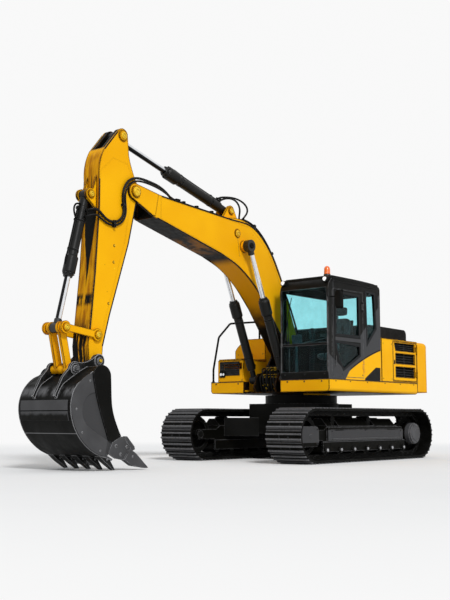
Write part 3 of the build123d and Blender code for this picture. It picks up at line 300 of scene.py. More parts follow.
def yellow_skin(s, base, line_width=0.036):
    """Adds chips, scuffs and orange peel to a yellow base colour, with a dark outline along edges and creases,
    painted shade in the creases, and a soft amber painted shade beside them.
    """
    marks = wear(s)
    fine = s.noise(14.0, 6.0, 0.65)
    colour = s.mix(s.all_of(marks, 0.85), base, RUST)
    # Dark outline along edges and creases: painted shade in the creases
    line = s.all_of(s.edges(line_width, 0.012, 0.06), s.ramp(fine, 0.25, 0.5, 0.8, 1.0))
    colour = s.mix(line, colour, INK)
    # Soft amber beside edges and creases: painted shade
    soft = s.all_of(s.edges(0.06, 0.01, 0.3), s.ramp(fine, 0.35, 0.75, 0.0, 0.3))
    colour = s.mix(soft, colour, AMBER_SHADE)
    rough = s.ramp(fine, 0.3, 0.7, 0.36, 0.54)
    grain = s.plus(s.all_of(s.noise(160.0, 2.0), 0.25), s.all_of(marks, -0.6))
    s.bump(grain, 0.22, 0.0012)
    return s.finish(colour, rough, 0.0, 0.0, 0.06)


def yellow_base(s):
    return s.mottled(0.9, 2.0, YELLOW_DEEP, YELLOW)


def yellow_paint(name):
    s = Shader(name)
    return yellow_skin(s, yellow_base(s))


def boom_paint(name):
    """Yellow with painted shade: a black and amber belly on the faces that look down, turning black towards the foot,
    and black low near the foot and between the nose plates.
    """
    s = Shader(name)
    x, y, z = s.axes()
    nz = s.axes(s.facing)[2]
    noise = s.noise(3.0, 4.0)
    # Faces that look down get a belly of painted shade in black and amber
    below = s.ramp(nz, -0.3, -0.5)
    bend = s.ramp(x, 2.02, 2.3)
    foot = s.ramp(s.plus(x, s.all_of(noise, 0.5)), 1.55, 1.15)
    patch = s.all_of(s.ramp(s.off(x, 2.85), 0.45, 0.15), s.ramp(noise, 0.4, 0.6, 0.0, 0.55))
    belly = s.mix(bend, AMBER_LIGHT, INK)
    belly = s.mix(patch, belly, AMBER_SHADE)
    belly = s.mix(foot, belly, INK)
    base = s.mix(below, yellow_base(s), belly)
    # Painted shade, black, low on the boom near its foot
    deep = s.ramp(s.plus(z, s.all_of(noise, 0.35)), 2.42, 2.05)
    base = s.mix(s.all_of(deep, s.ramp(x, 1.1, 0.9)), base, INK)
    # Painted shade, black, on the inner faces between the nose plates
    between = s.ramp(s.off(y, BOOM_Y), 0.209, 0.207)
    base = s.mix(s.all_of(between, s.ramp(x, 3.88, 3.9), s.ramp(z, 4.31, 4.29)), base, INK)
    return yellow_skin(s, base)


def arm_paint(name):
    """Yellow with painted shade: dark amber over its front face, black streaks down it behind the bucket ram and low
    down, and black between the lug plates at its top.
    """
    s = Shader(name)
    _, y, z = s.axes()
    nx = s.axes(s.facing)[0]
    # Painted shade on the front face: dark amber, with black streaks behind the ram and low down
    front = s.all_of(s.ramp(nx, 0.55, 0.8), s.ramp(z, 4.8, 4.6))
    streaks = s.noise(5.0, 4.0, 0.6, (1.0, 4.0, 0.6))
    off = s.off(y, BOOM_Y)
    width = s.ramp(z, 2.62, 3.8, 0.0, 0.12)
    core = s.ramp(s.minus(s.plus(off, s.all_of(streaks, 0.05)), width), 0.035, 0.02)
    core = s.all_of(core, s.ramp(z, 2.6, 2.8), s.ramp(z, 4.12, 3.96))
    crease = s.ramp(s.minus(s.plus(off, s.all_of(streaks, 0.06)), 0.02), 0.02, 0.008)
    crease = s.all_of(crease, s.ramp(z, 3.95, 4.02), s.ramp(z, 4.55, 4.35))
    lower = s.any_of(s.ramp(z, 2.25, 1.95), s.ramp(s.off(z, 2.46), 0.12, 0.04))
    low_shade = s.all_of(lower, s.ramp(streaks, 0.32, 0.46))
    front_shade = s.any_of(core, crease, low_shade)
    side = s.ramp(streaks, 0.38, 0.62, 0.45, 1.0)
    base = s.mix(s.all_of(front, side), yellow_base(s), AMBER_SHADE)
    base = s.mix(s.all_of(front, front_shade), base, INK)
    # Painted shade, black, between the lug plates at the top
    inside = s.all_of(s.ramp(off, 0.15, 0.146), s.ramp(z, 4.74, 4.8))
    base = s.mix(inside, base, INK)
    return yellow_skin(s, base)


def link_paint(name):
    """Yellow links with painted shade in dark amber between the plates."""
    s = Shader(name)
    ny = s.axes(s.facing)[1]
    # Painted shade in dark amber on the faces that don't look sideways
    turned = s.ramp(s.size(ny), 0.6, 0.3)
    shade = s.all_of(turned, s.ramp(s.noise(6.0, 4.0, 0.6, (1.0, 3.0, 0.8)), 0.42, 0.6, 0.1, 0.85))
    return yellow_skin(s, s.mix(shade, yellow_base(s), AMBER_SHADE), 0.02)


def deck_paint(name):
    """Yellow edge beams round a black centre section and belly."""
    s = Shader(name)
    _, y, z = s.axes()
    nz = s.axes(s.facing)[2]
    centre = s.all_of(s.ramp(y, -0.6, -0.592), s.ramp(y, 0.356, 0.346))
    below = s.ramp(nz, -0.8, -0.9)
    inner = s.any_of(centre, below, s.ramp(z, 1.402, 1.404))
    base = s.mix(inner, yellow_base(s), BLACK)
    return yellow_skin(s, base)


def box_paint(name):
    """Yellow tool box with painted shade, black, inside the recess in its front."""
    s = Shader(name)
    x, y, z = s.axes()
    # Painted shade: the recess's inner faces in black
    depth = s.all_of(s.ramp(x, 0.953, 0.951), s.ramp(x, 0.93, 0.934))
    hole = s.all_of(s.ramp(s.off(z, 1.69), 0.056, 0.054), s.ramp(y, -1.092, -1.088))
    return yellow_skin(s, s.mix(s.all_of(depth, hole), yellow_base(s), INK))


def black_skin(s, base, roughness=0.46, specular=0.05, edge_highlight=0.75, edge_colour=EDGE_HIGHLIGHT_GREY, radius=0.011):
    fine = s.noise(14.0, 6.0, 0.65)
    # Grey lines along edges: painted highlights
    line = s.all_of(s.edges(radius, 0.04, 0.22), s.ramp(fine, 0.35, 0.6, 0.15, 1.0), edge_highlight)
    colour = s.mix(line, base, edge_colour)
    colour = s.mix(s.all_of(wear(s, 0.69), 0.5), colour, STEEL_GREY)
    rough = s.ramp(fine, 0.3, 0.7, roughness - 0.06, roughness + 0.12)
    s.bump(s.noise(150.0, 2.0), 0.18, 0.001)
    return s.finish(colour, rough, 0.0, 0.0, specular)


def black_paint(name, dark=BLACK, light=BLACK_SOFT, edge_highlight=0.55, roughness=0.46, specular=0.05):
    s = Shader(name)
    base = s.mottled(1.8, 3.0, dark, light)
    return black_skin(s, base, roughness, specular, edge_highlight)


def cab_paint(name):
    """Cab side: dark grey panels with a yellow sweep and a black cut-out low at the rear, black elsewhere, with a
    thin grey painted highlight on the front post and grey painted highlights along the edges.
    """
    s = Shader(name)
    x, y, z = s.axes()
    outside = s.ramp(y, HALF - 0.022, HALF - 0.012)
    base = s.mottled(1.8, 3.0, BLACK, BLACK_SOFT)
    rear = s.all_of(s.ramp(x, 0.11, 0.09), s.ramp(s.plus(z, s.all_of(x, 0.9)), 2.285, 2.275))
    strip_low = s.all_of(s.ramp(x, -0.505, -0.515), s.ramp(x, -0.556, -0.548), s.ramp(z, 2.96, 2.94))
    door_low = s.ramp(s.minus(z, s.all_of(s.off(x, 0.62), 0.55)), 1.565, 1.555)
    sash = s.all_of(s.ramp(s.off(z, 2.092), 0.034, 0.028), s.ramp(x, 0.9, 0.89))
    # A thin grey strip on the front post: a painted highlight
    pillar_highlight = s.ramp(s.off(x, 0.948), 0.012, 0.008)
    grey = s.any_of(rear, strip_low, door_low, sash, pillar_highlight)
    base = s.mix(s.all_of(outside, grey), base, CAB_GREY)
    bow = s.all_of(x, x)
    top = s.plus(s.plus(s.all_of(x, -0.4), s.all_of(bow, -0.12)), 1.768)
    start = s.ramp(s.plus(x, s.all_of(s.minus(z, 1.44), 0.9)), 0.572, 0.56)
    below = s.ramp(s.minus(top, z), 0.0, 0.006)
    black_top = s.plus(s.all_of(x, -0.56), 1.425)
    cut = s.all_of(s.ramp(s.minus(black_top, z), 0.0, 0.006), s.ramp(x, -0.02, -0.035))
    cut = s.all_of(cut, s.ramp(z, 1.65, 1.64), s.ramp(x, -0.555, -0.545))
    sweep = s.all_of(outside, below, start)
    base = s.mix(sweep, base, YELLOW)
    base = s.mix(s.all_of(sweep, cut), base, BLACK_SOFT)
    border = s.ramp(s.off(s.plus(top, 0.012), z), 0.014, 0.008)
    base = s.mix(s.all_of(border, outside, start), base, INK)
    return black_skin(s, base, 0.42, 0.07, 0.85, EDGE_HIGHLIGHT_GREY, 0.022)


def frame_paint(name):
    """Track frame: black with the raised outer panels in grey, and a ragged black band of painted shadow along the
    panels' tops.
    """
    s = Shader(name)
    x, y, z = s.axes()
    raised = s.all_of(s.ramp(s.size(y), 1.3985, 1.4), s.ramp(z, PANEL_BOTTOM - 0.01, PANEL_BOTTOM - 0.006))
    base = s.mix(raised, INK, PANEL_GREY)
    # A ragged band of painted shadow along the top of the grey panels
    ragged = s.all_of(s.noise(7.0, 5.0, 0.7, (1.0, 1.0, 2.5)), 0.05)
    shade = s.all_of(raised, s.ramp(s.plus(z, ragged), 0.566, 0.574), s.ramp(s.size(x), 1.3, 1.28))
    base = s.mix(shade, base, INK)
    return black_skin(s, base, 0.52, 0.05, 0.9, radius=0.018)


def grey_paint(name, colour, edge_highlight=0.8):
    s = Shader(name)
    base = s.mottled(3.5, 5.0, colour, scaled(colour, 1.35))
    # Pale grey edges: painted highlights
    return black_skin(s, base, 0.5, 0.1, edge_highlight, PALE_GREY, 0.014)


def bucket_steel(name):
    """Black shell, grey on its outer sides, with painted highlights: grey across the top of its back, and pale lines
    along its edges and a seam.
    """
    s = Shader(name)
    _, y, z = s.axes()
    nx, ny, nz = s.axes(s.facing)
    streak = s.noise(4.0, 6.0, 0.65, (1.0, 1.6, 0.7))
    side = s.ramp(s.size(ny), 0.8, 0.95)
    outer = s.ramp(s.off(y, BOOM_Y), 0.545, 0.556)
    # Painted highlight across the top of the back
    back_highlight = s.all_of(s.ramp(nz, 0.25, 0.45), s.ramp(z, 1.2, 1.12), s.ramp(z, 0.97, 1.0), s.ramp(streak, 0.4, 0.58))
    base = s.mottled(2.0, 4.0, BLACK, BLACK_SOFT)
    base = s.mix(s.all_of(side, outer), base, PANEL_GREY)
    base = s.mix(s.all_of(back_highlight, 0.8), base, STEEL_GREY)
    ear = s.all_of(side, s.ramp(s.off(y, BOOM_Y), 0.3, 0.27), s.ramp(streak, 0.45, 0.65, 0.0, 0.7))
    base = s.mix(ear, base, CAB_GREY)
    # Pale lines along the edges and a seam: painted highlights
    seam = s.all_of(s.ramp(s.off(z, 0.525), 0.006, 0.003), s.ramp(nx, 0.2, 0.3), 0.6)
    line = s.any_of(s.edges(0.022, 0.02, 0.09), s.all_of(seam, s.ramp(s.size(ny), 0.3, 0.2)))
    line = s.all_of(line, s.ramp(streak, 0.26, 0.46, 0.55, 1.0), 0.95)
    base = s.mix(line, base, PALE_GREY)
    rough = s.ramp(streak, 0.35, 0.7, 0.58, 0.38)
    s.bump(s.noise(70.0, 5.0, 0.7), 0.3, 0.0015)
    return s.finish(base, rough, 0.1, 0.0, 0.07)


def wear_plate(name):
    """Two grey plates whose lower edge fades into black."""
    s = Shader(name)
    z = s.axes()[2]
    ny = s.axes(s.facing)[1]
    ragged = s.all_of(s.noise(5.0, 5.0, 0.65, (0.7, 2.0, 1.0)), 0.08)
    low = s.all_of(s.ramp(s.plus(z, ragged), 0.855, 0.805), s.ramp(s.size(ny), 0.6, 0.4))
    base = s.mottled(3.5, 5.0, PANEL_GREY, scaled(PANEL_GREY, 1.3))
    # Steel-grey edges: painted highlights
    return black_skin(s, s.mix(low, base, INK), 0.5, 0.1, 0.5, STEEL_GREY, 0.01)


def worn_steel(name, colour=PANEL_GREY, light=PALE_GREY, metallic=0.2):
    """Plate steel worn by earth: scratches along its use, and pale edges that are worn bright and also a painted
    highlight.
    """
    s = Shader(name)
    streak = s.noise(6.0, 8.0, 0.7, (0.8, 5.0, 1.0))
    base = s.mottled(2.0, 4.0, colour, scaled(colour, 1.3))
    base = s.mix(s.all_of(s.ramp(streak, 0.56, 0.74), 0.35), base, light)
    # Pale edges: worn bright, and a painted highlight
    base = s.mix(s.all_of(s.edges(0.012, 0.03, 0.16), 0.9), base, light)
    rough = s.ramp(streak, 0.35, 0.7, 0.58, 0.36)
    s.bump(s.noise(70.0, 5.0, 0.7), 0.35, 0.0015)
    return s.finish(base, rough, metallic, 0.0, 0.18)


def track_metal(name):
    """Black shoes in two mottled blacks, with grey grouser tips and edges that are worn bright and also a painted
    highlight.
    """
    s = Shader(name)
    x, _, z = s.axes()
    out = s.any_of(s.minus(s.size(x), AXLE_X), 0.0)
    up = s.minus(z, AXLE_Z)
    distance = s.math("SQRT", s.plus(s.all_of(out, out), s.all_of(up, up)))
    fine = s.noise(34.0, 7.0, 0.7)
    # Grey grouser tips and edges: worn bright, and a painted highlight
    tip = s.all_of(s.ramp(distance, PLATE_TOP + 0.004, GROUSER_TIP), s.ramp(fine, 0.3, 0.55, 0.45, 1.0))
    base = s.mottled(5.0, 5.0, INK, BLACK_SOFT)
    base = s.mix(tip, base, STEEL_GREY)
    base = s.mix(s.all_of(s.edges(0.006, 0.05, 0.3), s.ramp(fine, 0.4, 0.6), 0.5), base, STEEL_GREY)
    rough = s.ramp(fine, 0.3, 0.7, 0.48, 0.7)
    s.bump(fine, 0.4, 0.002, 0.0)
    return s.finish(base, rough, 0.1, 0.0, 0.05)


def polished(name, colour):
    """Chrome or a mirror's face, with faint draw lines and an oil film."""
    s = Shader(name)
    film = s.noise(7.0, 4.0)
    base = s.mix(s.ramp(film, 0.4, 0.7), colour, scaled(colour, 0.85))
    s.bump(s.noise(90.0, 3.0, 0.6, (1.0, 1.0, 0.1)), 0.03, 0.0004, 0.0)
    return s.finish(base, s.ramp(film, 0.3, 0.7, 0.16, 0.3), 0.85)


def rod_metal(name, eye, start, tail, shade, colour=BLACK):
    """Chrome between the ram's two ends, with the eye and its collar in paint, and the chrome turned near black on
    one side as painted shade.
    """
    s = Shader(name)
    x, _, z = s.axes()
    length = math.dist(eye, start)
    ux, uz = (start[0] - eye[0]) / length, (start[1] - eye[1]) / length
    along = s.plus(s.all_of(s.minus(x, eye[0]), ux), s.all_of(s.minus(z, eye[1]), uz))
    painted = s.ramp(along, tail + 0.002, tail)
    film = s.noise(7.0, 4.0)
    bright = s.mix(s.ramp(film, 0.4, 0.7), CHROME, scaled(CHROME, 0.86))
    nx, _, nz = s.axes(s.facing)
    around_axis = s.minus(s.all_of(nz, ux), s.all_of(nx, uz))
    # Painted shade: the chrome turns near black on one side of the rod
    under = s.ramp(around_axis, *shade)
    base = s.mix(painted, s.mix(under, bright, (0.012, 0.012, 0.013)), colour)
    s.bump(s.noise(90.0, 3.0, 0.6, (1.0, 1.0, 0.1)), 0.03, 0.0004, 0.0)
    s.join(s.ramp(painted, 0.0, 1.0, 0.88, 0.0), s.bsdf.inputs["Metallic"])
    return s.finish(base, s.ramp(painted, 0.0, 1.0, 0.2, 0.48))


def moulded(name, colour, roughness=0.55, scale=120.0):
    """Grained plastic or rubber."""
    s = Shader(name)
    worn = s.noise(5.0, 5.0)
    base = s.mix(s.ramp(worn, 0.4, 0.7), colour, tuple(min(1.0, 1.6 * c + 0.003) for c in colour))
    s.bump(s.noise(scale, 4.0, 0.6), 0.3, 0.001, 0.0)
    return s.finish(base, s.ramp(worn, 0.3, 0.7, roughness - 0.06, roughness + 0.12), 0.0, 0.0, 0.15)


def window_glass(name, colour):
    """Tinted safety glass with faint dust."""
    s = Shader(name)
    dust = s.noise(3.0, 6.0, 0.7)
    base = s.mix(s.ramp(dust, 0.35, 0.75), colour, tuple(min(1.0, c * 1.1 + 0.02) for c in colour))
    s.bsdf.inputs["Transmission Weight"].default_value = 1.0
    s.bsdf.inputs["IOR"].default_value = 1.14
    return s.finish(base, s.ramp(dust, 0.35, 0.75, 0.0, 0.04), 0.0, 0.0, 0.6)


def lens(name, colour, glow=0.0):
    """Ribbed lamp plastic."""
    s = Shader(name)
    wave = s.wave("Z", 38.0)
    base = s.mix(s.ramp(wave, 0.0, 1.0), colour, tuple(min(1.0, 0.8 * c + 0.04) for c in colour))
    s.bump(wave, 0.5, 0.002, 0.0)
    s.bsdf.inputs["Emission Color"].default_value = (*colour, 1.0)
    s.bsdf.inputs["Emission Strength"].default_value = glow
    return s.finish(base, 0.18, 0.0, 0.6)


def beacon_plastic(name):
    """An amber lens with darker ribs, over a black foot."""
    s = Shader(name)
    z = s.axes()[2]
    foot = s.ramp(z, CAB_TOP + 0.0955, CAB_TOP + 0.0945)
    ribs = s.wave("Z", 38.0)
    base = s.mix(s.ramp(ribs, 0.0, 1.0, 0.0, 0.5), AMBER, (0.6, 0.07, 0.003))
    base = s.mix(foot, base, BLACK)
    s.bump(ribs, 0.4, 0.002, 0.0)
    return s.finish(base, 0.22, 0.0, 0.5)


def woven(name, colour):
    """Seat cloth: a fine cross weave with sheen."""
    s = Shader(name)
    weave = s.all_of(s.wave("Y", 130.0), s.wave("Z", 130.0))
    base = s.mix(weave, colour, scaled(colour, 2.4))
    s.bump(weave, 0.6, 0.001, 0.0)
    s.bsdf.inputs["Sheen Weight"].default_value = 0.3
    return s.finish(base, 0.85)


def golden(name):
    """Pin ends and fittings: greasy yellow paint over brass."""
    s = Shader(name)
    fine = s.noise(30.0, 6.0, 0.65)
    base = s.mix(s.ramp(fine, 0.4, 0.62), (0.7, 0.4, 0.006), (0.88, 0.6, 0.03))
    # Dark outline along edges and creases: painted shade in the creases
    base = s.mix(s.edges(0.01, 0.015, 0.09), base, INK)
    s.bump(s.noise(120.0, 3.0), 0.3, 0.001)
    return s.finish(base, s.ramp(fine, 0.3, 0.7, 0.28, 0.45), 0.15, 0.0, 0.25)


materials = {
    "yellow_paint": yellow_paint("yellow_paint"),
    "black_paint": black_paint("black_paint"),
    "grey_steel": worn_steel("grey_steel"),
    "track_steel": track_metal("track_steel"),
    "chrome_rod": polished("chrome_rod", CHROME),
    "tinted_glass": window_glass("tinted_glass", GLASS_TINT),
    "cab_plastic": moulded("cab_plastic", (0.005, 0.006, 0.007)),
    "seat_fabric": woven("seat_fabric", SEAT_CLOTH),
    "amber_plastic": beacon_plastic("amber_plastic"),
    "lamp_glass": lens("lamp_glass", LAMP_WHITE, 0.4),
    "hose_rubber": moulded("hose_rubber", RUBBER, 0.45, 200.0),
}
boom_look = boom_paint("boom_paint")
arm_look = arm_paint("arm_paint")
link_look = link_paint("link_paint")
deck_look = deck_paint("deck_paint")
cab_look = cab_paint("cab_paint")
frame_look = frame_paint("track_frame_paint")
bucket_look = bucket_steel("bucket_steel")
grey_look = grey_paint("grey_paint", PANEL_GREY, 0.95)
drive_look = grey_paint("drive_paint", (0.07, 0.07, 0.073), 0.6)
golden_look = golden("greased_pin")
inside_look = moulded("cab_lining", (0.02, 0.034, 0.038), 0.7)
mirror_look = polished("mirror_face", (0.55, 0.6, 0.62))
wheel_look = black_paint("wheel_paint", INK, BLACK_SOFT, 0.5, 0.55)
teeth_look = worn_steel("tooth_steel", BLACK_SOFT, PALE_GREY)
box_look = box_paint("box_paint")
tube_look = black_paint("tube_paint", BLACK, BLACK_SOFT, 0.7, 0.38, 0.2)
rod_looks = {
    "boom_ram_rod_left": rod_metal("boom_rod", RAM_EYE, RAM_BASE, 0.16, (-0.45, -0.7)),
    "arm_ram_rod": rod_metal("arm_rod", ARM_EYE, ARM_BASE, 0.145, (0.05, 0.3)),
    "bucket_ram_rod": rod_metal("bucket_rod", LINK_PIN, BUCKET_BASE, 0.135, (-0.45, -0.7)),
}
rod_looks["boom_ram_rod_right"] = rod_looks["boom_ram_rod_left"]

node_looks = dict(rod_looks)
for look, nodes in (
    (boom_look, "boom"),
    (arm_look, "arm"),
    (link_look, "idler_links h_link"),
    (deck_look, "swing_frame"),
    (cab_look, "cab_frame cab_door"),
    (frame_look, "track_frame_left track_frame_right"),
    (drive_look, "final_drive_left final_drive_right"),
    (bucket_look, "bucket_shell"),
    (wear_plate("wear_plate"), "bucket_wear_plates"),
    (grey_look, "side_cutters"),
    (materials["black_paint"], "work_lamps"),
    (golden_look, "foot_pin"),
    (tube_look, "boom_ram_tube_left boom_ram_tube_right arm_ram_tube bucket_ram_tube"),
    (teeth_look, "bucket_teeth"),
    (box_look, "tool_box"),
    (wheel_look, "idler_wheel_left idler_wheel_right sprocket_left sprocket_right bottom_rollers carrier_rollers"),
    (materials["hose_rubber"], "boom_pipes"),
):
    node_looks.update(dict.fromkeys(nodes.split(), look))


def dress_nodes():
    """Each frame node gets its own look, or that of its slot in the record."""
    for entry in frame["record"]["subparts"]:
        node = frame["nodes"][entry["node"]]
        node.data.materials.clear()
        node.data.materials.append(node_looks.get(entry["node"], materials[entry["material_slot"]]))


dress_nodes()


# Mesh helpers


def circle(steps, shift=0.0):
    """Cosine and sine at even steps round a turn."""
    turns = [2 * math.pi * (k + shift) / steps for k in range(steps)]
    return [(math.cos(turn), math.sin(turn)) for turn in turns]


def rounded(value, power):
    """Turns a circle's cosine or sine into that of a rounded rectangle."""
    return math.copysign(abs(value) ** power, value)


def square_to(axis):
    axis = Vector(axis).normalized()
    side = axis.cross(Vector((0, 0, 1)) if abs(axis.z) < 0.9 else Vector((1, 0, 0))).normalized()
    return axis, side, axis.cross(side)


class Solid:
    """Collects closed shapes into one mesh."""

    def __init__(self):
        self.points = []
        self.faces = []

    def loft(self, rings):
        base = len(self.points)
        count = len(rings[0])
        for ring in rings:
            self.points.extend(tuple(point) for point in ring)
        for level in range(len(rings) - 1):
            low = base + level * count
            for k in range(count):
                after = (k + 1) % count
                self.faces.append((low + k, low + after, low + count + after, low + count + k))
        self.faces.append(tuple(range(base, base + count)))
        self.faces.append(tuple(range(base + (len(rings) - 1) * count, base + len(rings) * count)))
        return self

    def turned(self, start, axis, profile, steps=20):
        """A turned shape from (distance, radius) pairs along an axis."""
        axis, side, up = square_to(axis)
        rings = []
        for distance, radius in profile:
            middle = Vector(start) + axis * distance
            rings.append([middle + (side * c + up * s) * radius for c, s in circle(steps)])
        return self.loft(rings)

    def ring(self, start, axis, inner, outer, length, steps=28):
        """An open collar round an axis."""
        axis, side, up = square_to(axis)
        base = len(self.points)
        for c, s in circle(steps):
            ray = side * c + up * s
            for radius, distance in ((inner, 0.0), (outer, 0.0), (outer, length), (inner, length)):
                self.points.append(tuple(Vector(start) + axis * distance + ray * radius))
        for k in range(steps):
            here = base + 4 * k
            after = base + 4 * ((k + 1) % steps)
            for i in range(4):
                j = (i + 1) % 4
                self.faces.append((here + i, after + i, after + j, here + j))
        return self

    def plate(self, outline, shift):
        """A flat outline of 3D points, thickened by a vector."""
        first = [Vector(point) for point in outline]
        return self.loft([first, [point + Vector(shift) for point in first]])

    def side_plate(self, outline, y0, y1):
        return self.plate([(x, y0, z) for x, z in outline], (0, y1 - y0, 0))

    def box(self, low, high):
        (x0, y0, z0), (x1, y1, z1) = low, high
        return self.plate([(x0, y0, z0), (x1, y0, z0), (x1, y1, z0), (x0, y1, z0)], (0, 0, z1 - z0))

    def panel(self, x0, x1, z0, z1, y0, y1):
        return self.side_plate([(x0, z0), (x1, z0), (x1, z1), (x0, z1)], y0, y1)

    def quad(self, x0, z0, x1, z1, y0, y1, shift):
        """A strip from one place in X and Z to another, as wide as two Y values."""
        return self.plate([(x0, y0, z0), (x0, y1, z0), (x1, y1, z1), (x1, y0, z1)], shift)

    def bolt(self, place, axis, radius, height=None):
        """A hexagon head with a chamfered top on a washer."""
        height = height or radius * 0.9
        self.turned(
            place, axis, [(-0.001, radius * 1.35), (height * 0.22, radius * 1.35), (height * 0.24, radius * 1.25)], 12
        )
        self.turned(place, axis, [(height * 0.24, radius), (height * 0.86, radius), (height, radius * 0.8)], 6)
        return self

    def piece(self, name, body, slot="black_paint", look=None, bevel=0.0, smooth=35):
        mesh = bpy.data.meshes.new(name)
        mesh.from_pydata(self.points, [], self.faces)
        return place_mesh(name, mesh, body, slot, look, bevel, smooth)


def place_mesh(name, mesh, body, slot, look=None, bevel=0.0, smooth=35):
    bm = bmesh.new()
    bm.from_mesh(mesh)
    bmesh.ops.recalc_face_normals(bm, faces=bm.faces)
    bm.to_mesh(mesh)
    bm.free()
    mesh.materials.append(look or materials[slot])
    for face in mesh.polygons:
        face.use_smooth = True
    mesh.set_sharp_from_angle(angle=math.radians(smooth))
    obj = bpy.data.objects.new(name, mesh)
    bpy.context.scene.collection.objects.link(obj)
    if bevel:
        modifier = obj.modifiers.new("bevel", "BEVEL")
        modifier.width = bevel
        modifier.segments = 2
        modifier.limit_method = "ANGLE"
        modifier.angle_limit = math.radians(35)
    if isinstance(body, str):
        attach(obj, body)
    else:
        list(body)
        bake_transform(obj)
    return obj


hose_lengths = {}


def hose_mesh(name, points, radius, order=4):
    """A round hose through a smooth line guided by points."""
    curve = bpy.data.curves.new(name, "CURVE")
    curve.dimensions = "3D"
    curve.bevel_depth = radius
    curve.bevel_resolution = 3
    curve.resolution_u = 6
    curve.use_fill_caps = True
    spline = curve.splines.new("NURBS")
    spline.points.add(len(points) - 1)
    for spot, point in zip(spline.points, points):
        spot.co = (*point, 1.0)
    spline.order_u = order
    spline.use_endpoint_u = True
    hose_lengths[name] = round(spline.calc_length(), 2)
    obj = bpy.data.objects.new(name + "_line", curve)
    bpy.context.scene.collection.objects.link(obj)
    bpy.context.view_layer.update()
    depsgraph = bpy.context.evaluated_depsgraph_get()
    mesh = bpy.data.meshes.new_from_object(obj.evaluated_get(depsgraph))
    bpy.data.objects.remove(obj)
    bpy.data.curves.remove(curve)
    mesh.materials.clear()
    return mesh


def hose(name, points, radius, body, slot="cab_plastic", look=None, order=4):
    mesh = hose_mesh(name, points, radius, order)
    return place_mesh(name, mesh, body, slot, look or materials["hose_rubber"], smooth=60)


def steel_pipe(name, points, radius, body):
    hose(name, points, radius, body, "black_paint", materials["black_paint"])


def fitting(solid, place, axis, radius):
    """A crimped sleeve and a hexagon nut at a hose's end."""
    solid.turned(
        place, axis, [(-0.004, radius * 1.05), (0.0, radius * 1.22), (0.04, radius * 1.22), (0.044, radius * 1.0)], 16
    )
    solid.turned(place, axis, [(-0.026, radius * 1.45), (-0.002, radius * 1.45)], 6)
    return solid


def around(centre, radius, degrees):
    turn = math.radians(degrees)
    return (centre[0] + radius * math.cos(turn), centre[1] + radius * math.sin(turn))


def offset_outline(points, amount):
    """A closed outline moved outwards by mitred corners."""
    area = 0.0
    for k, (x, z) in enumerate(points):
        after = points[(k + 1) % len(points)]
        area += x * after[1] - after[0] * z
    sign = 1 if area > 0 else -1
    moved = []
    for k, (x, z) in enumerate(points):
        before = Vector(points[k - 1])
        here = Vector((x, z))
        after = Vector(points[(k + 1) % len(points)])
        a = (here - before).normalized()
        b = (after - here).normalized()
        na = Vector((a.y, -a.x)) * sign
        nb = Vector((b.y, -b.x)) * sign
        share = (na + nb) / (1 + na.dot(nb))
        moved.append(tuple(here + share * amount))
    return moved


def ring_plate(solid, outline, inner, outer, y0, y1):
    """A flat frame round an outline in X and Z, from inner to outer offset."""
    near = offset_outline(outline, inner)
    far = offset_outline(outline, outer)
    count = len(outline)
    for k in range(count):
        after = (k + 1) % count
        solid.side_plate([near[k], near[after], far[after], far[k]], y0, y1)
    return solid


def strip(solid, points, width, y0, y1):
    """A flat band that follows a line in X and Z, on its left side as seen along the line."""
    count = len(points)
    for k in range(count - 1):
        a, b = Vector(points[k]), Vector(points[k + 1])
        before = Vector(points[k - 1]) if k else a - (b - a)
        after = Vector(points[k + 2]) if k + 2 < count else b + (b - a)
        sides = []
        for here, last, following in ((a, before, b), (b, a, after)):
            u, v = (here - last).normalized(), (following - here).normalized()
            nu, nv = Vector((-u.y, u.x)), Vector((-v.y, v.x))
            sides.append((nu + nv) / (1 + nu.dot(nv)) * width)
        solid.side_plate([tuple(a), tuple(b), tuple(b + sides[1]), tuple(a + sides[0])], y0, y1)
    return solid


def curve_points(points, steps=6):
    """A smooth line through points, by Catmull and Rom's formula."""
    result = []
    for k in range(len(points) - 1):
        p1, p2 = Vector(points[k]), Vector(points[k + 1])
        p0 = Vector(points[k - 1]) if k else p1 * 2 - p2
        p3 = Vector(points[k + 2]) if k + 2 < len(points) else p2 * 2 - p1
        for step in range(steps):
            t = step / steps
            spot = 2 * p1 + (p2 - p0) * t + (
                2 * p0 - 5 * p1 + 4 * p2 - p3
            ) * t**2 + (3 * p1 - p0 - 3 * p2 + p3) * t**3
            result.append(tuple(spot * 0.5))
    result.append(tuple(points[-1]))
    return result


def along_ram(base, eye, middle, distance, out, sideways=0.0):
    """A point beside a ram: so far from its base eye, out from its axis, and to one side in Y."""
    length = math.dist(base, eye)
    ux, uz = (eye[0] - base[0]) / length, (eye[1] - base[1]) / length
    return (base[0] + ux * distance - uz * out, middle + sideways, base[1] + uz * distance + ux * out)


def ram_axis(base, eye):
    length = math.dist(base, eye)
    return ((eye[0] - base[0]) / length, 0.0, (eye[1] - base[1]) / length)


# Undercarriage


def loop_place(distance, radius):
    """Point and tangent angle on the track loop, from the middle of its bottom run."""
    half = AXLE_X
    arc = math.pi * radius
    if distance < half:
        return distance, AXLE_Z - radius, 0.0
    distance -= half
    if distance < arc:
        turn = distance / radius
        return half + radius * math.sin(turn), AXLE_Z - radius * math.cos(turn), turn
    distance -= arc
    if distance < 2 * half:
        return half - distance, AXLE_Z + radius, math.pi
    distance -= 2 * half
    if distance < arc:
        turn = distance / radius
        return -half - radius * math.sin(turn), AXLE_Z + radius * math.cos(turn), math.pi + turn
    return -half + distance - arc, AXLE_Z - radius, 0.0


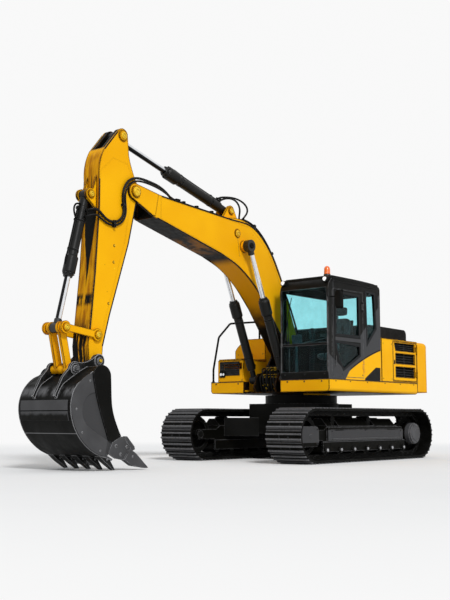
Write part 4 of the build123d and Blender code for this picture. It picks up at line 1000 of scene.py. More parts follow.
def loop_places(radius):
    """For each shoe: its X and Z on the loop, its directions along and outwards, and the pitch."""
    pitch = (4 * AXLE_X + 2 * math.pi * radius) / SHOES
    for number in range(SHOES):
        x, z, turn = loop_place(number * pitch + pitch / 2, radius)
        u = Vector((math.cos(turn), 0, math.sin(turn)))
        yield x, z, u, Vector((u.z, 0, -u.x)), pitch


def track_bolts():
    """Four bolts on each shoe, between its grousers."""
    for name, side in SIDES:
        solid = Solid()
        for x, z, u, out, _ in loop_places(SHOE_FACE):
            for along in (-0.026, -0.002):
                for across in (-0.09, 0.09):
                    spot = Vector((x, side * TRACK_Y + across, z)) + u * along + out * SHOE_PLATE
                    if spot.z > 0.02:
                        solid.bolt(spot, out, 0.0085, 0.009)
        solid.piece("track_bolts_" + name, "undercarriage", "track_steel", wheel_look)


def chain_links():
    """Link plates and pins along the inside of each track, proud of the chain's rails."""
    pin = [(-0.002, 0.018), (0.008, 0.018), (0.009, 0.014)]
    for name, side in SIDES:
        solid = Solid()
        for x, z, u, out, pitch in loop_places(CHAIN_RADIUS):
            for edge in (-1, 1):
                centre = Vector((x, side * TRACK_Y + edge * CHAIN_FACE, z))
                outline = [centre + u * (rounded(c, 0.5) * pitch * 0.42) + out * (s * 0.034) for c, s in circle(12)]
                solid.plate(outline, (0, edge * 0.006, 0))
                solid.turned(centre + u * (pitch * 0.5), (0, edge, 0), pin, 10)
        solid.piece("chain_links_" + name, "undercarriage", "track_steel", wheel_look)


def roller_bolts():
    """Pale grey caps on the rollers' ends, a painted highlight, and bolts on the idler guards and side panels."""
    caps = Solid()
    panel = Solid()
    for side in (-1, 1):
        cap = side * (TRACK_Y + ROLLER_HALF + GUARD + CAP)
        for number in range(ROLLERS):
            x = ROLLER_FIRST_X + number * ROLLER_STEP
            caps.turned((x, cap, ROLLER_Z), (0, side, 0), [(-0.001, 0.026), (0.01, 0.026), (0.014, 0.018)], 16)
        face = side * 1.4053
        for x in (1.52, 2.0):
            for z in (0.325, 0.555):
                panel.bolt((x, face, z), (0, side, 0), 0.012)
        for x in (-1.15, 1.1):
            for z in (0.385, 0.52):
                panel.bolt((x, side * (PANEL_FACE - 0.009), z), (0, side, 0), 0.011)
    # The roller caps' pale grey is a painted highlight
    caps.piece("roller_cap_ends", "undercarriage", "chrome_rod", grey_paint("cap_highlight_grey", (0.3, 0.3, 0.31)))
    panel.piece("track_frame_bolts", "undercarriage", look=wheel_look)


def panel_details():
    """Dark slots on the long side panel and the ring of the drive's cover."""
    slots = Solid()
    ring = Solid()
    for side in (-1, 1):
        face = side * (PANEL_FACE - 0.009)
        for x0, x1 in ((0.72, 1.02), (-0.98, -0.66)):
            outline = [(x0, 0.548), (x1, 0.548), (x1 - 0.03, 0.53), (x0 + 0.03, 0.53)]
            slots.side_plate(outline, face - side * 0.002, face + side * 0.0025)
        slots.side_plate([(0.02, 0.548), (0.09, 0.548), (0.07, 0.525), (0.04, 0.525)], face, face + side * 0.0025)
        drive = side * (TRACK_Y + 0.235)
        ring.turned(
            (-AXLE_X, drive - side * 0.001, AXLE_Z), (0, side, 0), [(0.0, 0.128), (0.01, 0.126), (0.012, 0.12)], 36
        )
        ring.bolt((-AXLE_X, drive + side * 0.011, AXLE_Z + 0.07), (0, side, 0), 0.012)
    slots.piece("panel_slots", "undercarriage", look=wheel_look)
    ring.piece("drive_covers", "undercarriage", look=drive_look, bevel=0.003)


def ring_bolts():
    solid = Solid()
    for c, s in circle(36):
        solid.bolt((0.676 * c, 0.676 * s, 1.0), UP, 0.01)
    solid.piece("ring_bolts", "undercarriage", look=wheel_look)


# House


def deck_details():
    solid = Solid()
    for y in (0.5, 0.86, 1.22):
        solid.bolt((1.102, y, 1.365), FORWARD, 0.011)
    for y in (-1.25, -0.72):
        solid.bolt((0.96, y, 1.365), FORWARD, 0.011)
    for x in (-1.75, -1.25, -0.7, -0.1, 0.45, 0.9):
        solid.bolt((x, HALF, 1.37), LEFT, 0.009)
        if x < 0.8:
            solid.bolt((x, -HALF, 1.37), (0, -1, 0), 0.009)
    solid.piece("deck_bolts", "house", look=wheel_look)
    seams = Solid()
    for side in (-1, 1):
        seams.box((-1.902, side * HALF - 0.0015, 1.235), (-1.896, side * HALF + 0.0015, 1.398))
    seams.box((0.3, -HALF - 0.0015, 1.205), (0.306, -HALF + 0.0015, 1.398))
    for side in (-1, 1):
        front = 1.1 if side > 0 else 0.25
        seams.box((-1.895, side * HALF - 0.0015, BEAM_TOP - 0.005), (front, side * HALF + 0.002, BEAM_TOP + 0.005))
    seams.box((1.1005, CAB_Y + 0.004, BEAM_TOP - 0.005), (1.104, HALF + 0.002, BEAM_TOP + 0.005))
    seams.box((0.9585, -HALF + 0.004, BEAM_TOP - 0.005), (0.962, -0.604, BEAM_TOP + 0.003))
    seams.piece("deck_seams", "house", look=wheel_look)


def body_details():
    """Door and hood latches, and the bolts of the side panels and roof."""
    bolts = Solid()
    for name, side in SIDES:
        body = name + "_door_leaf"
        handle = Solid()
        y = side * HALF
        handle.panel(-1.075, -1.035, 1.735, 1.815, y - side * 0.001, y + side * 0.004)
        handle.panel(-1.064, -1.046, 1.75, 1.8, y + side * 0.003, y + side * 0.01)
        handle.piece("door_latch_" + name, body, bevel=0.0015)
        for x in (-0.96, -0.66 if side > 0 else -0.6):
            for z in (1.46, 2.1):
                bolts.bolt((x, y, z), (0, side, 0), 0.009)
        for z in (1.46, 2.1):
            bolts.bolt((-1.885, y, z), (0, side, 0), 0.008)
    for y in (-0.8, 0.8):
        for x in (-0.8, -1.9):
            bolts.bolt((x, math.copysign(1.1, y), 2.195), UP, 0.01)
    latch = Solid().panel(-0.762, -0.756, 2.3, 2.36, -0.08, 0.08)
    latch.piece("hood_latch", "hood_leaf", look=grey_look, bevel=0.002)
    bolts.piece("body_bolts", "house", "yellow_paint", golden_look)


def hood_details():
    """A grille of slots on the hood's top and a pressed rib round it."""
    rib = Solid()
    for y in (-0.8, 0.8):
        rib.box((-2.05, y - 0.016, HOOD_Z), (-0.92, y + 0.016, 2.4915))
    for x in (-2.05, -0.95):
        rib.box((x, -0.784, HOOD_Z), (x + 0.032, 0.784, 2.4915))
    rib.piece("hood_ribs", "hood_leaf", bevel=0.004)
    grille = Solid()
    for row in range(9):
        x = -1.86 + row * 0.042
        outline = [(x, 2.479), (x + 0.03, 2.479), (x + 0.03, 2.4835), (x + 0.012, 2.4895), (x, 2.4835)]
        grille.side_plate(outline, -0.42, 0.42)
    grille.piece("hood_grille", "hood_leaf", look=wheel_look)


def studs(name, body, x0, y0, z, rows, columns, step_x, step_y, radius):
    """Rows of raised studs to tread on."""
    solid = Solid()
    profile = [(0.0, radius), (0.006, radius - 0.002), (0.0065, radius - 0.01)]
    for row in range(rows):
        for column in range(columns):
            solid.turned((x0 + row * step_x, y0 + column * step_y, z), UP, profile, 10)
    solid.piece(name, body, "yellow_paint", golden_look)


def tank_details():
    """Fuel cap, bolts, the tool box's grille and lamp, tread studs and the handrail's feet."""
    cap = Solid()
    cap.turned(
        (-0.25, -0.86, 2.239), UP, [(0.0, 0.075), (0.02, 0.075), (0.022, 0.062), (0.05, 0.06), (0.056, 0.05)], 24
    )
    cap.box((-0.285, -0.866, 2.29), (-0.215, -0.854, 2.305))
    cap.piece("fuel_cap", "house", bevel=0.002)
    bolts = Solid()
    for y in (-1.32, -0.95, -0.7):
        bolts.bolt((0.25, y, 1.46), FORWARD, 0.01)
        bolts.bolt((0.25, max(y, -1.3), 1.95), FORWARD, 0.01)
    for y in (-1.185, -0.635):
        bolts.bolt((0.956, y, 1.435), FORWARD, 0.01)
    for x in (0.32, 0.62, 0.9):
        bolts.bolt((x, -1.215, 1.44), (0, -1, 0), 0.009)
    bolts.piece("tank_bolts", "house", "yellow_paint", golden_look)
    grille = Solid()
    face = BOX_FACE
    for z0, z1 in ((1.518, 1.532), (1.762, 1.776)):
        grille.box((face - 0.0005, -1.16, z0), (face + 0.007, -0.69, z1))
    for y0, y1 in ((-1.16, -1.146), (-0.704, -0.69)):
        grille.box((face - 0.0005, y0, 1.518), (face + 0.007, y1, 1.776))
    for y1, z0, z1 in ((-0.7, 1.528, 1.64), (-0.7, 1.74, 1.766), (-1.085, 1.64, 1.74)):
        grille.box((face - 0.0005, -1.15, z0), (face + 0.001, y1, z1))
    for row in range(6):
        z = 1.546 + row * 0.038
        grille.plate(
            [
                (face, -1.148, z), (face + 0.006, -1.148, z - 0.01), (face + 0.006, -0.702, z - 0.01),
                (face, -0.702, z)
            ],
            (0, 0, 0.007)
        )
    grille.piece("box_grille", "house", look=wheel_look, bevel=0.0015)
    lamp = Solid().box((face + 0.0005, -1.162, 1.486), (face + 0.016, -1.028, 1.6))
    lamp.piece("box_lamp", "house", bevel=0.006)
    lamp = Solid()
    for y, foot, side, top in ((-1.124, 0.028, 0.027, 0.018), (-1.064, 0.024, 0.023, 0.015)):
        lamp.turned((face + 0.015, y, 1.543), FORWARD, [(0.0, foot), (0.004, side), (0.007, top)], 20)
    lamp.piece("box_lamp_glass", "house", "lamp_glass", materials["chrome_rod"])
    studs("lid_tread", "lid_leaf", 0.36, -1.1, 1.8235, 6, 5, 0.1, 0.1, 0.02)
    studs("tank_tread", "house", -0.45, -1.08, TANK_Z, 5, 4, 0.15, 0.12, 0.022)
    feet = Solid()
    for spot in ((0.93, -1.343, 1.3995), (-0.15, -1.09, TANK_Z)):
        feet.turned(spot, UP, [(0.0, 0.045), (0.008, 0.045), (0.01, 0.026), (0.03, 0.022)], 20)
    feet.piece("handrail_feet", "house")


def valve_group():
    """Control valve between the boom cheeks, with elbows and short hoses down into the deck."""
    block = Solid()
    block.box((0.54, -0.29, DECK_Z), (0.8, 0.11, 1.4))
    block.box((0.58, -0.27, 1.4), (0.78, 0.09, 1.56))
    block.box((0.6, -0.22, 1.56), (0.76, 0.04, 1.68))
    block.piece("valve_block", "house", bevel=0.006)
    brass = Solid()
    rubber = []
    places = [
        (-0.245, 1.5), (-0.165, 1.5), (-0.085, 1.5), (-0.005, 1.5), (0.065, 1.5), (-0.19, 1.625), (-0.105, 1.625),
        (-0.02, 1.625)
    ]
    for number, (y, z) in enumerate(places):
        x = 0.78 if z < 1.55 else 0.76
        brass.bolt((x, y, z), FORWARD, 0.026, 0.03)
        brass.turned((x + 0.028, y, z), FORWARD, [(0.0, 0.016), (0.03, 0.016), (0.034, 0.013)], 12)
        reach = 0.13 + 0.02 * (number % 3)
        line = [
            (x + 0.055, y, z), (x + 0.055 + reach * 0.7, y, z + 0.01), (x + reach, y, z - 0.08),
            (x + reach * 0.9, y, z - 0.2), (x + 0.055, y, 1.205)
        ]
        rubber.append(hose_mesh("valve_hose_%d" % number, line, 0.012))
    for y, z in ((-0.245, 1.335), (-0.15, 1.335), (-0.055, 1.335), (0.045, 1.335), (-0.2, 1.27), (0.0, 1.27)):
        brass.bolt((0.8, y, z), FORWARD, 0.02, 0.022)
    brass.piece("valve_fittings", "house", "grey_steel", golden_look)
    joined = bmesh.new()
    for mesh in rubber:
        joined.from_mesh(mesh)
    together = bpy.data.meshes.new("valve_hoses")
    joined.to_mesh(together)
    joined.free()
    place_mesh("valve_hoses", together, "house", "cab_plastic", materials["hose_rubber"], smooth=60)


# Cab


DOOR_UPPER = [(0.15, 2.178), (0.87, 2.178), (0.855, CAB_TOP - 0.242), (0.15, CAB_TOP - 0.252)]
DOOR_LOWER = [(0.14, 1.99), (0.14, 1.84), (0.65, 1.59), (0.78, 1.74), (0.87, 2.02)]
QUARTER = [(-0.1, CAB_TOP - 0.147), (-0.37, CAB_TOP - 0.162), (-0.41, 2.345), (-0.13, 2.075)]


def cab_trim():
    """Rubber round each window, grey strips on the front pillars as a painted highlight, and bolts."""
    seal = Solid()
    for window in (DOOR_UPPER, DOOR_LOWER):
        ring_plate(seal, window, -0.004, 0.04, HALF - 0.004, HALF + 0.004)
    seal.piece("door_seals", "cab_door_leaf", "cab_plastic", bevel=0.003)
    seal = ring_plate(Solid(), QUARTER, -0.004, 0.034, HALF - 0.004, HALF + 0.004)
    seal.piece("quarter_seal", "house", "cab_plastic", bevel=0.003)
    # Grey strips on the front pillars: a painted highlight
    pillar = Solid()
    for y0, y1 in ((HALF - 0.03, HALF - 0.012), (CAB_Y + 0.012, CAB_Y + 0.026)):
        pillar.quad(1.0985, 1.52, 1.0955, 2.79, y0, y1, (0.008, 0, 0))
    pillar.piece("pillar_highlight_strips", "house", look=grey_look, bevel=0.003)
    bolts = Solid()
    for x, z in ((0.7, 1.49), (0.93, 1.6), (0.05, 1.49)):
        bolts.bolt((x, HALF, z), LEFT, 0.008)
    bolts.piece("door_bolts", "cab_door_leaf")
    sill = Solid()
    for y in (0.45, 0.87, 1.28):
        sill.bolt((1.1015, y, 1.485), FORWARD, 0.009)
    sill.piece("cab_front_bolts", "house")


def wiper():
    arm = Solid()
    arm.turned((1.078, 0.52, 2.045), FORWARD, [(0.0, 0.022), (0.016, 0.022), (0.02, 0.016)], 16)
    arm.plate([(1.088, 0.512, 2.045), (1.088, 0.528, 2.045), (1.09, 0.516, 2.48), (1.09, 0.508, 2.48)], (0.008, 0, 0))
    blade = [(0.432, 2.02), (0.462, 2.2), (0.5, 2.42), (0.545, 2.64), (0.592, 2.83)]
    for (y0, z0), (y1, z1) in zip(blade, blade[1:]):
        arm.plate(
            [(1.08, y0 - 0.006, z0), (1.08, y0 + 0.006, z0), (1.08, y1 + 0.006, z1), (1.08, y1 - 0.006, z1)],
            (0.01, 0, 0)
        )
    arm.piece("wiper", "house", "cab_plastic", bevel=0.0015)


def beacon():
    """A wider lens on its black foot, in place of the plain one."""
    solid = Solid()
    base = CAB_TOP + 0.059
    profile = [
        (0.0, 0.062), (0.03, 0.062), (0.034, 0.055), (0.04, 0.055), (0.115, 0.054), (0.146, 0.048), (0.166, 0.035),
        (0.177, 0.014)
    ]
    solid.turned((0.872, 1.203, base), UP, profile, 32)
    piece = solid.piece("beacon_lens", "house", "amber_plastic")
    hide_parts("beacon")


def roof_lamps():
    glass = Solid()
    rim = Solid()
    for y in (CAB_Y + 0.06, HALF - 0.07):
        centre = (1.0975, y, CAB_TOP - 0.02)
        rim.turned(centre, (1, 0.25, -0.1), [(-0.01, 0.043), (0.004, 0.043), (0.006, 0.038)], 28)
        glass.turned(
            centre, (1, 0.25, -0.1), [(-0.004, 0.037), (0.0065, 0.037), (0.0095, 0.028), (0.0105, 0.012)], 28
        )
    rim.piece("roof_lamp_rims", "house")
    glass.piece("roof_lamp_glass", "house", "lamp_glass")


def mirror_glass():
    middle = (HALF + 0.1903, CAB_TOP - 0.381)
    outline = [
        (1.0245, middle[0] + rounded(c, 0.45) * 0.058, middle[1] + rounded(s, 0.45) * 0.142) for c, s in circle(24)
    ]
    Solid().plate(outline, (-0.0025, 0, 0)).piece("mirror_glass", "house", "chrome_rod", mirror_look)


def mirror_shell():
    """The bulged back of the mirror's housing."""
    middle = (HALF + 0.1903, CAB_TOP - 0.381)
    levels = (
        (1.06, 0.0705, 0.157), (1.078, 0.069, 0.155), (1.091, 0.061, 0.145), (1.099, 0.046, 0.125),
        (1.102, 0.024, 0.09)
    )
    rings = [
        [(x, middle[0] + rounded(c, 0.5) * wide, middle[1] + rounded(s, 0.5) * high) for c, s in circle(28)]
        for x, wide, high in levels
    ]
    look = black_paint("mirror_paint", BLACK, BLACK_SOFT, 0.5)
    Solid().loft(rings).piece("mirror_shell", "house", "cab_plastic", look)


def cab_inside():
    """Monitor, arm pads, levers' boots and mats."""
    parts = Solid()
    parts.plate([(0.86, 0.46, 2.02), (0.88, 0.46, 2.2), (0.88, 0.66, 2.2), (0.86, 0.66, 2.02)], (0.035, 0, -0.004))
    parts.turned((0.9, 0.56, 1.46), UP, [(0.0, 0.03), (0.58, 0.018)], 12)
    for y in (0.541, 1.189):
        parts.plate(
            [(-0.2, y - 0.05, 2.075), (-0.2, y + 0.05, 2.075), (0.16, y + 0.05, 2.075), (0.16, y - 0.05, 2.075)],
            (0, 0, 0.05)
        )
        parts.turned(
            (0.366, y, 2.066), (0.14, 0, 1),
            [(0.0, 0.05), (0.02, 0.044), (0.035, 0.046), (0.055, 0.032), (0.07, 0.034), (0.09, 0.02)], 16
        )
    parts.box((0.46, 0.62, CAB_FLOOR), (1.0, 1.1, 1.46))
    parts.piece("cab_controls", "house", "cab_plastic", inside_look, bevel=0.004)
    screen = Solid().plate(
        [(0.859, 0.475, 2.04), (0.8765, 0.475, 2.185), (0.8765, 0.645, 2.185), (0.859, 0.645, 2.04)],
        (-0.003, 0, 0.0004)
    )
    screen.piece("cab_screen", "house", "cab_plastic", polished("screen_glass", (0.05, 0.12, 0.14)))


def pad_block(name, size):
    """A rounded block that a pad starts from, about its own middle."""
    bm = bmesh.new()
    bmesh.ops.create_cube(bm, size=2.0)
    bmesh.ops.subdivide_edges(bm, edges=bm.edges[:], cuts=12, use_grid_fill=True)
    for vertex in bm.verts:
        u, v, w = vertex.co
        share = (abs(u) ** 5 + abs(v) ** 5 + abs(w) ** 5) ** (-1 / 5)
        vertex.co = (u * share * size[0] / 2, v * share * size[1] / 2, w * share * size[2] / 2)
    mesh = bpy.data.meshes.new(name)
    bm.to_mesh(mesh)
    bm.free()
    return mesh


def pad_mesh(name, centre, size, lean, channels):
    """A stuffed pad with sewn channels and an edge seam, leant and put in place."""
    mesh = pad_block(name, size)
    mesh = stuffed(mesh)
    c, s = math.cos(lean), math.sin(lean)
    for vertex in mesh.vertices:
        x, y, z = vertex.co
        flat = max(0.0, 1 - (2 * x / size[0]) ** 6) * max(0.0, 1 - (2 * y / size[1]) ** 6)
        if z > 0:
            for line in channels:
                z -= 0.012 * flat * math.exp(-(((2 * y / size[1] - line) / 0.045) ** 2))
        seam = math.exp(-((z / 0.006) ** 2)) * (1 - flat)
        x, y = x * (1 - 0.012 * seam), y * (1 - 0.012 * seam)
        vertex.co = (centre[0] + x * c - z * s, centre[1] + y, centre[2] + x * s + z * c)
    return mesh


def stuffed(mesh, voxel=0.008, pressure=4.0, cap=0.014):
    """Swells a pad with Blender's cloth, with no point moved further than the cap."""
    scene = bpy.context.scene
    obj = bpy.data.objects.new("pad_work", mesh)
    scene.collection.objects.link(obj)
    remesh = obj.modifiers.new("remesh", "REMESH")
    remesh.mode = "VOXEL"
    remesh.voxel_size = voxel
    start = bpy.data.meshes.new_from_object(obj.evaluated_get(bpy.context.evaluated_depsgraph_get()))
    obj.modifiers.clear()
    obj.data = start
    cloth = obj.modifiers.new("cloth", "CLOTH")
    cloth.settings.use_pressure = True
    cloth.settings.uniform_pressure_force = pressure
    cloth.settings.effector_weights.gravity = 0.0
    for number in range(1, 21):
        scene.frame_set(number)
    swollen = bpy.data.meshes.new_from_object(obj.evaluated_get(bpy.context.evaluated_depsgraph_get()))
    for before, after in zip(start.vertices, swollen.vertices):
        move = after.co - before.co
        if move.length > cap:
            after.co = before.co + move * (cap / move.length)
    bpy.data.objects.remove(obj)
    scene.frame_set(1)
    swollen.name = mesh.name + "_swollen"
    return swollen


def seat():
    """Base and suspension in plastic, with stuffed cushion, back and head rest."""
    y = SEAT_Y
    base = Solid()
    base.box((0.02, y - 0.19, CAB_FLOOR), (0.4, y + 0.19, 1.52))
    for level in range(5):
        z = 1.52 + level * 0.036
        base.plate(
            [(0.04, y - 0.17, z), (0.38, y - 0.17, z), (0.38, y + 0.17, z), (0.04, y + 0.17, z)], (0, 0, 0.024)
        )
    base.box((0.0, y - 0.21, 1.7), (0.42, y + 0.21, 1.775))
    base.side_plate([(-0.075, 1.79), (-0.035, 1.79), (-0.135, 2.5), (-0.165, 2.5)], y - 0.2, y + 0.2)
    rigid = base.piece("seat_frame", "house", "seat_fabric", materials["cab_plastic"], bevel=0.008)
    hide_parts("seat")
    pads = (
        ("seat_cushion", (0.22, y, 1.838), (0.48, 0.48, 0.09), 0.0, (-0.55, 0.55)),
        ("seat_back", (-0.02, y, 2.24), (0.62, 0.44, 0.085), math.radians(98.0), (-0.55, 0.55)),
        ("head_rest", (-0.072, y, 2.665), (0.15, 0.24, 0.06), math.radians(96.0), ()),
    )
    for name, centre, size, lean, channels in pads:
        obj = place_mesh(name, pad_mesh(name, centre, size, lean, channels), "house", "seat_fabric", smooth=60)
        modifier = obj.modifiers.new("smooth", "SUBSURF")
        modifier.levels = 1
        modifier.render_levels = 1


# Boom, arm and bucket


def flange(name, number, body, lines, width, faces):
    """Bands on one side of the boom or arm: 0 for its right, 1 for its left."""
    solid = Solid()
    side = 2 * number - 1
    for line in lines:
        strip(solid, line, width, BOOM_Y + side * faces[0], BOOM_Y + side * faces[1])
    solid.piece("%s_%d" % (name, number + 1), body, look=wheel_look)


def boom_plates():
    """The top and bottom plates of the boom, a little wider than its sides, and welded seams."""
    over = [(3.88, 4.2325)] + curve_points([(2.25, 4.132), (1.59, 4.08), (1.1, 3.73), (0.69, 3.13)], 7)
    bend = curve_points([(1.18, 2.69), (1.58, 3.068), (1.98, 3.32), (2.43, 3.48)], 6)
    under = [(0.56, 1.937)] + bend + [(3.98, 3.8455)]
    for number, side in enumerate((-1, 1)):
        flange("boom_flanges", number, "front_boom", (over, under), 0.022, BOOM_FLANGE)
        weld = Solid()
        face = BOOM_Y + side * 0.21
        for k in range(26):
            spot = (1.992 - 0.0018 * k, face - side * 0.003, 3.828 - 0.0125 * k)
            weld.turned(spot, (0, side, 0), [(0.0, 0.009), (0.005, 0.006)], 8)
        weld.piece("boom_weld_%d" % (number + 1), "front_boom", "yellow_paint", golden_look)


def arm_plates():
    """Edge plates along the arm, a little wider than its sides, and three bolts."""
    rear = [(4.4, 4.06), (4.56, 3.37), (4.93, 2.25), (5.06, 1.78)]
    front = [(5.33, 1.93), (5.24, 2.88), (5.182, 3.83), (5.184, 4.27)]
    crest = [(5.09, 4.75), (4.83, 5.07)]
    for number in range(2):
        flange("arm_flanges", number, "front_arm", (rear, front, crest), 0.02, ARM_FLANGE)
    bolts = Solid()
    for x, z in ((4.86, 3.3), (4.87, 3.05), (4.96, 2.42)):
        bolts.bolt((x, BOOM_Y + 0.17, z), LEFT, 0.016)
    bolts.piece("arm_side_bolts", "front_arm", "yellow_paint", golden_look)


def pin_cap(solid, centre, face, side, radius, bolt=0.0):
    """A stepped pin end with a keeper bolt."""
    solid.turned(
        (centre[0], face - side * 0.001, centre[1]), (0, side, 0),
        [(0.0, radius), (0.012, radius), (0.018, radius * 0.86), (0.019, radius * 0.5), (0.014, radius * 0.42)], 28
    )
    if bolt:
        spot = around(centre, bolt, 130)
        solid.bolt((spot[0], face, spot[1]), (0, side, 0), 0.014)


def pins():
    """Greased pin ends on every joint of the front."""
    groups = {
        "front_boom": [(NOSE, 0.244, 0.062), (ARM_BASE, 0.14, 0.044), ((2.0, 3.9), 0.224, 0.036)],
        "front_arm": [(ARM_EYE, 0.194, 0.056), (BUCKET_BASE, 0.138, 0.042)],
        "idlers": [(IDLER_PIN, 0.228, 0.042), (LINK_PIN, 0.228, 0.042)],
        "bucket": [(BUCKET_PIN, 0.281, 0.026)],
        "house": [(RAM_BASE, 0.4106, 0.044), (FOOT, 0.288, 0.03)],
    }
    for body, rows in groups.items():
        solid = Solid()
        for centre, reach, radius in rows:
            for side in (-1, 1):
                pin_cap(solid, centre, BOOM_Y + side * reach, side, radius)
        solid.piece("pin_ends_" + body, body, "yellow_paint", golden_look)
    solid = Solid()
    for side in (-1, 1):
        pin_cap(solid, EAR_PIN, BOOM_Y + side * 0.281, side, 0.03)
    solid.piece("ear_pin_ends", "bucket", "grey_steel", grey_look)
    solid = Solid()
    for middle in (RAM_OFFSET, -RAM_OFFSET):
        side = 1 if middle > 0 else -1
        pin_cap(solid, RAM_EYE, BOOM_Y + middle + side * 0.055, side, 0.05)
    solid.piece("pin_ends_boom_rods", "boom_rods", look=wheel_look)
    nut = Solid()
    for side in (-1, 1):
        nut.turned(
            (NOSE[0], BOOM_Y + side * 0.2435, NOSE[1]), (0, side, 0), [(0.0, 0.074), (0.01, 0.074), (0.014, 0.066)], 8
        )
        nut.turned((2.0, BOOM_Y + side * 0.2235, 3.9), (0, side, 0), [(0.0, 0.05), (0.004, 0.05), (0.006, 0.044)], 24)
    nut.piece("boom_pin_keepers", "front_boom", "yellow_paint", golden_look, bevel=0.002)


def ram_pipes():
    """Steel pipes, port blocks and clamps along each ram's tube."""
    rows = (
        ("boom_left", "boom_tubes", RAM_BASE, RAM_EYE, BOOM_Y + RAM_OFFSET, 0.078, 1.52),
        ("boom_right", "boom_tubes", RAM_BASE, RAM_EYE, BOOM_Y - RAM_OFFSET, 0.078, 1.52),
        ("arm", "arm_tube", ARM_BASE, ARM_EYE, BOOM_Y, 0.086, 1.615),
        ("bucket", "bucket_tube", BUCKET_BASE, LINK_PIN, BOOM_Y, 0.076, 1.3),
    )
    for name, body, base, eye, middle, radius, length in rows:

        def beside(distance, away):
            return along_ram(base, eye, middle, distance, away)

        out = radius + 0.02
        inner = radius - 0.004
        run = (
            (0.215, inner),
            (0.22, out),
            (0.26, out),
            (0.5, out),
            (length - 0.36, out),
            (length - 0.3, out + 0.014),
            (length - 0.2, out + 0.018),
            (length - 0.16, radius * 1.26 - 0.004),
        )
        line = [beside(distance, away) for distance, away in run]
        steel_pipe(name + "_ram_pipe", line, 0.011, body)
        hardware = Solid()
        axis = ram_axis(base, eye)
        _, across, up = square_to(axis)
        for place in (0.42, length - 0.42):
            hardware.ring(beside(place, 0.0), axis, radius - 0.003, radius + 0.004, 0.03)
            knob = beside(place + 0.015, out)
            spot = tuple(k - 0.016 * a for k, a in zip(knob, axis))
            hardware.turned(spot, axis, [(0.0, 0.019), (0.032, 0.019)], 10)
        head = beside(length - 0.052, 0.0)
        for c, s in circle(8, 0.5):
            offset = (across * c + up * s) * (radius * 1.08)
            hardware.bolt(tuple(h + o for h, o in zip(head, offset)), axis, 0.01, 0.014)
        normal = tuple(a - b for a, b in zip(beside(0.245, 1.0), beside(0.245, 0.0)))
        hardware.turned(beside(0.245, inner), normal, [(0.0, 0.03), (0.034, 0.03), (0.038, 0.024)], 16)
        hardware.piece(name + "_ram_hardware", body, look=black_paint("ram_hardware_" + name, BLACK, BLACK_SOFT, 0.8))


def arm_ram_hoses():
    """Two hoses that arch from the boom's pipes over to the arm ram's base."""
    joint = ("front_boom", "arm_tube", (1.9, 0.0, 4.4), (2.24, 0.0, 4.45))
    first = [
        (1.795, 0.01, 4.181), (1.84, 0.02, 4.19), (1.868, 0.055, 4.245), (1.85, 0.062, 4.37), (1.93, 0.05, 4.495),
        (2.07, 0.0, 4.535), (2.19, -0.045, 4.5), (2.262, -0.06, 4.452)
    ]
    second = [
        (1.795, 0.065, 4.181), (1.78, 0.08, 4.215), (1.69, 0.085, 4.29), (1.66, 0.08, 4.4), (1.76, 0.06, 4.5),
        (1.96, 0.02, 4.55), (2.15, -0.03, 4.535), (2.29, -0.06, 4.51), (2.33, -0.075, 4.462)
    ]
    hose("arm_ram_hose_1", first, HOSE, joint)
    hose("arm_ram_hose_2", second, HOSE, joint)
    ends = Solid()
    fitting(ends, first[-1], (-0.35, 0.1, 0.94), HOSE)
    fitting(ends, second[-1], (-0.35, 0.1, 0.94), HOSE)
    ends.piece("arm_ram_hose_ends", "arm_tube", look=wheel_look)
    starts = Solid()
    fitting(starts, (1.797, 0.01, 4.181), (1.0, 0.0, 0.05), HOSE)
    fitting(starts, (1.797, 0.065, 4.181), (-0.5, 0.2, 0.6), HOSE)
    starts.piece("boom_pipe_ends", "front_boom", look=wheel_look)


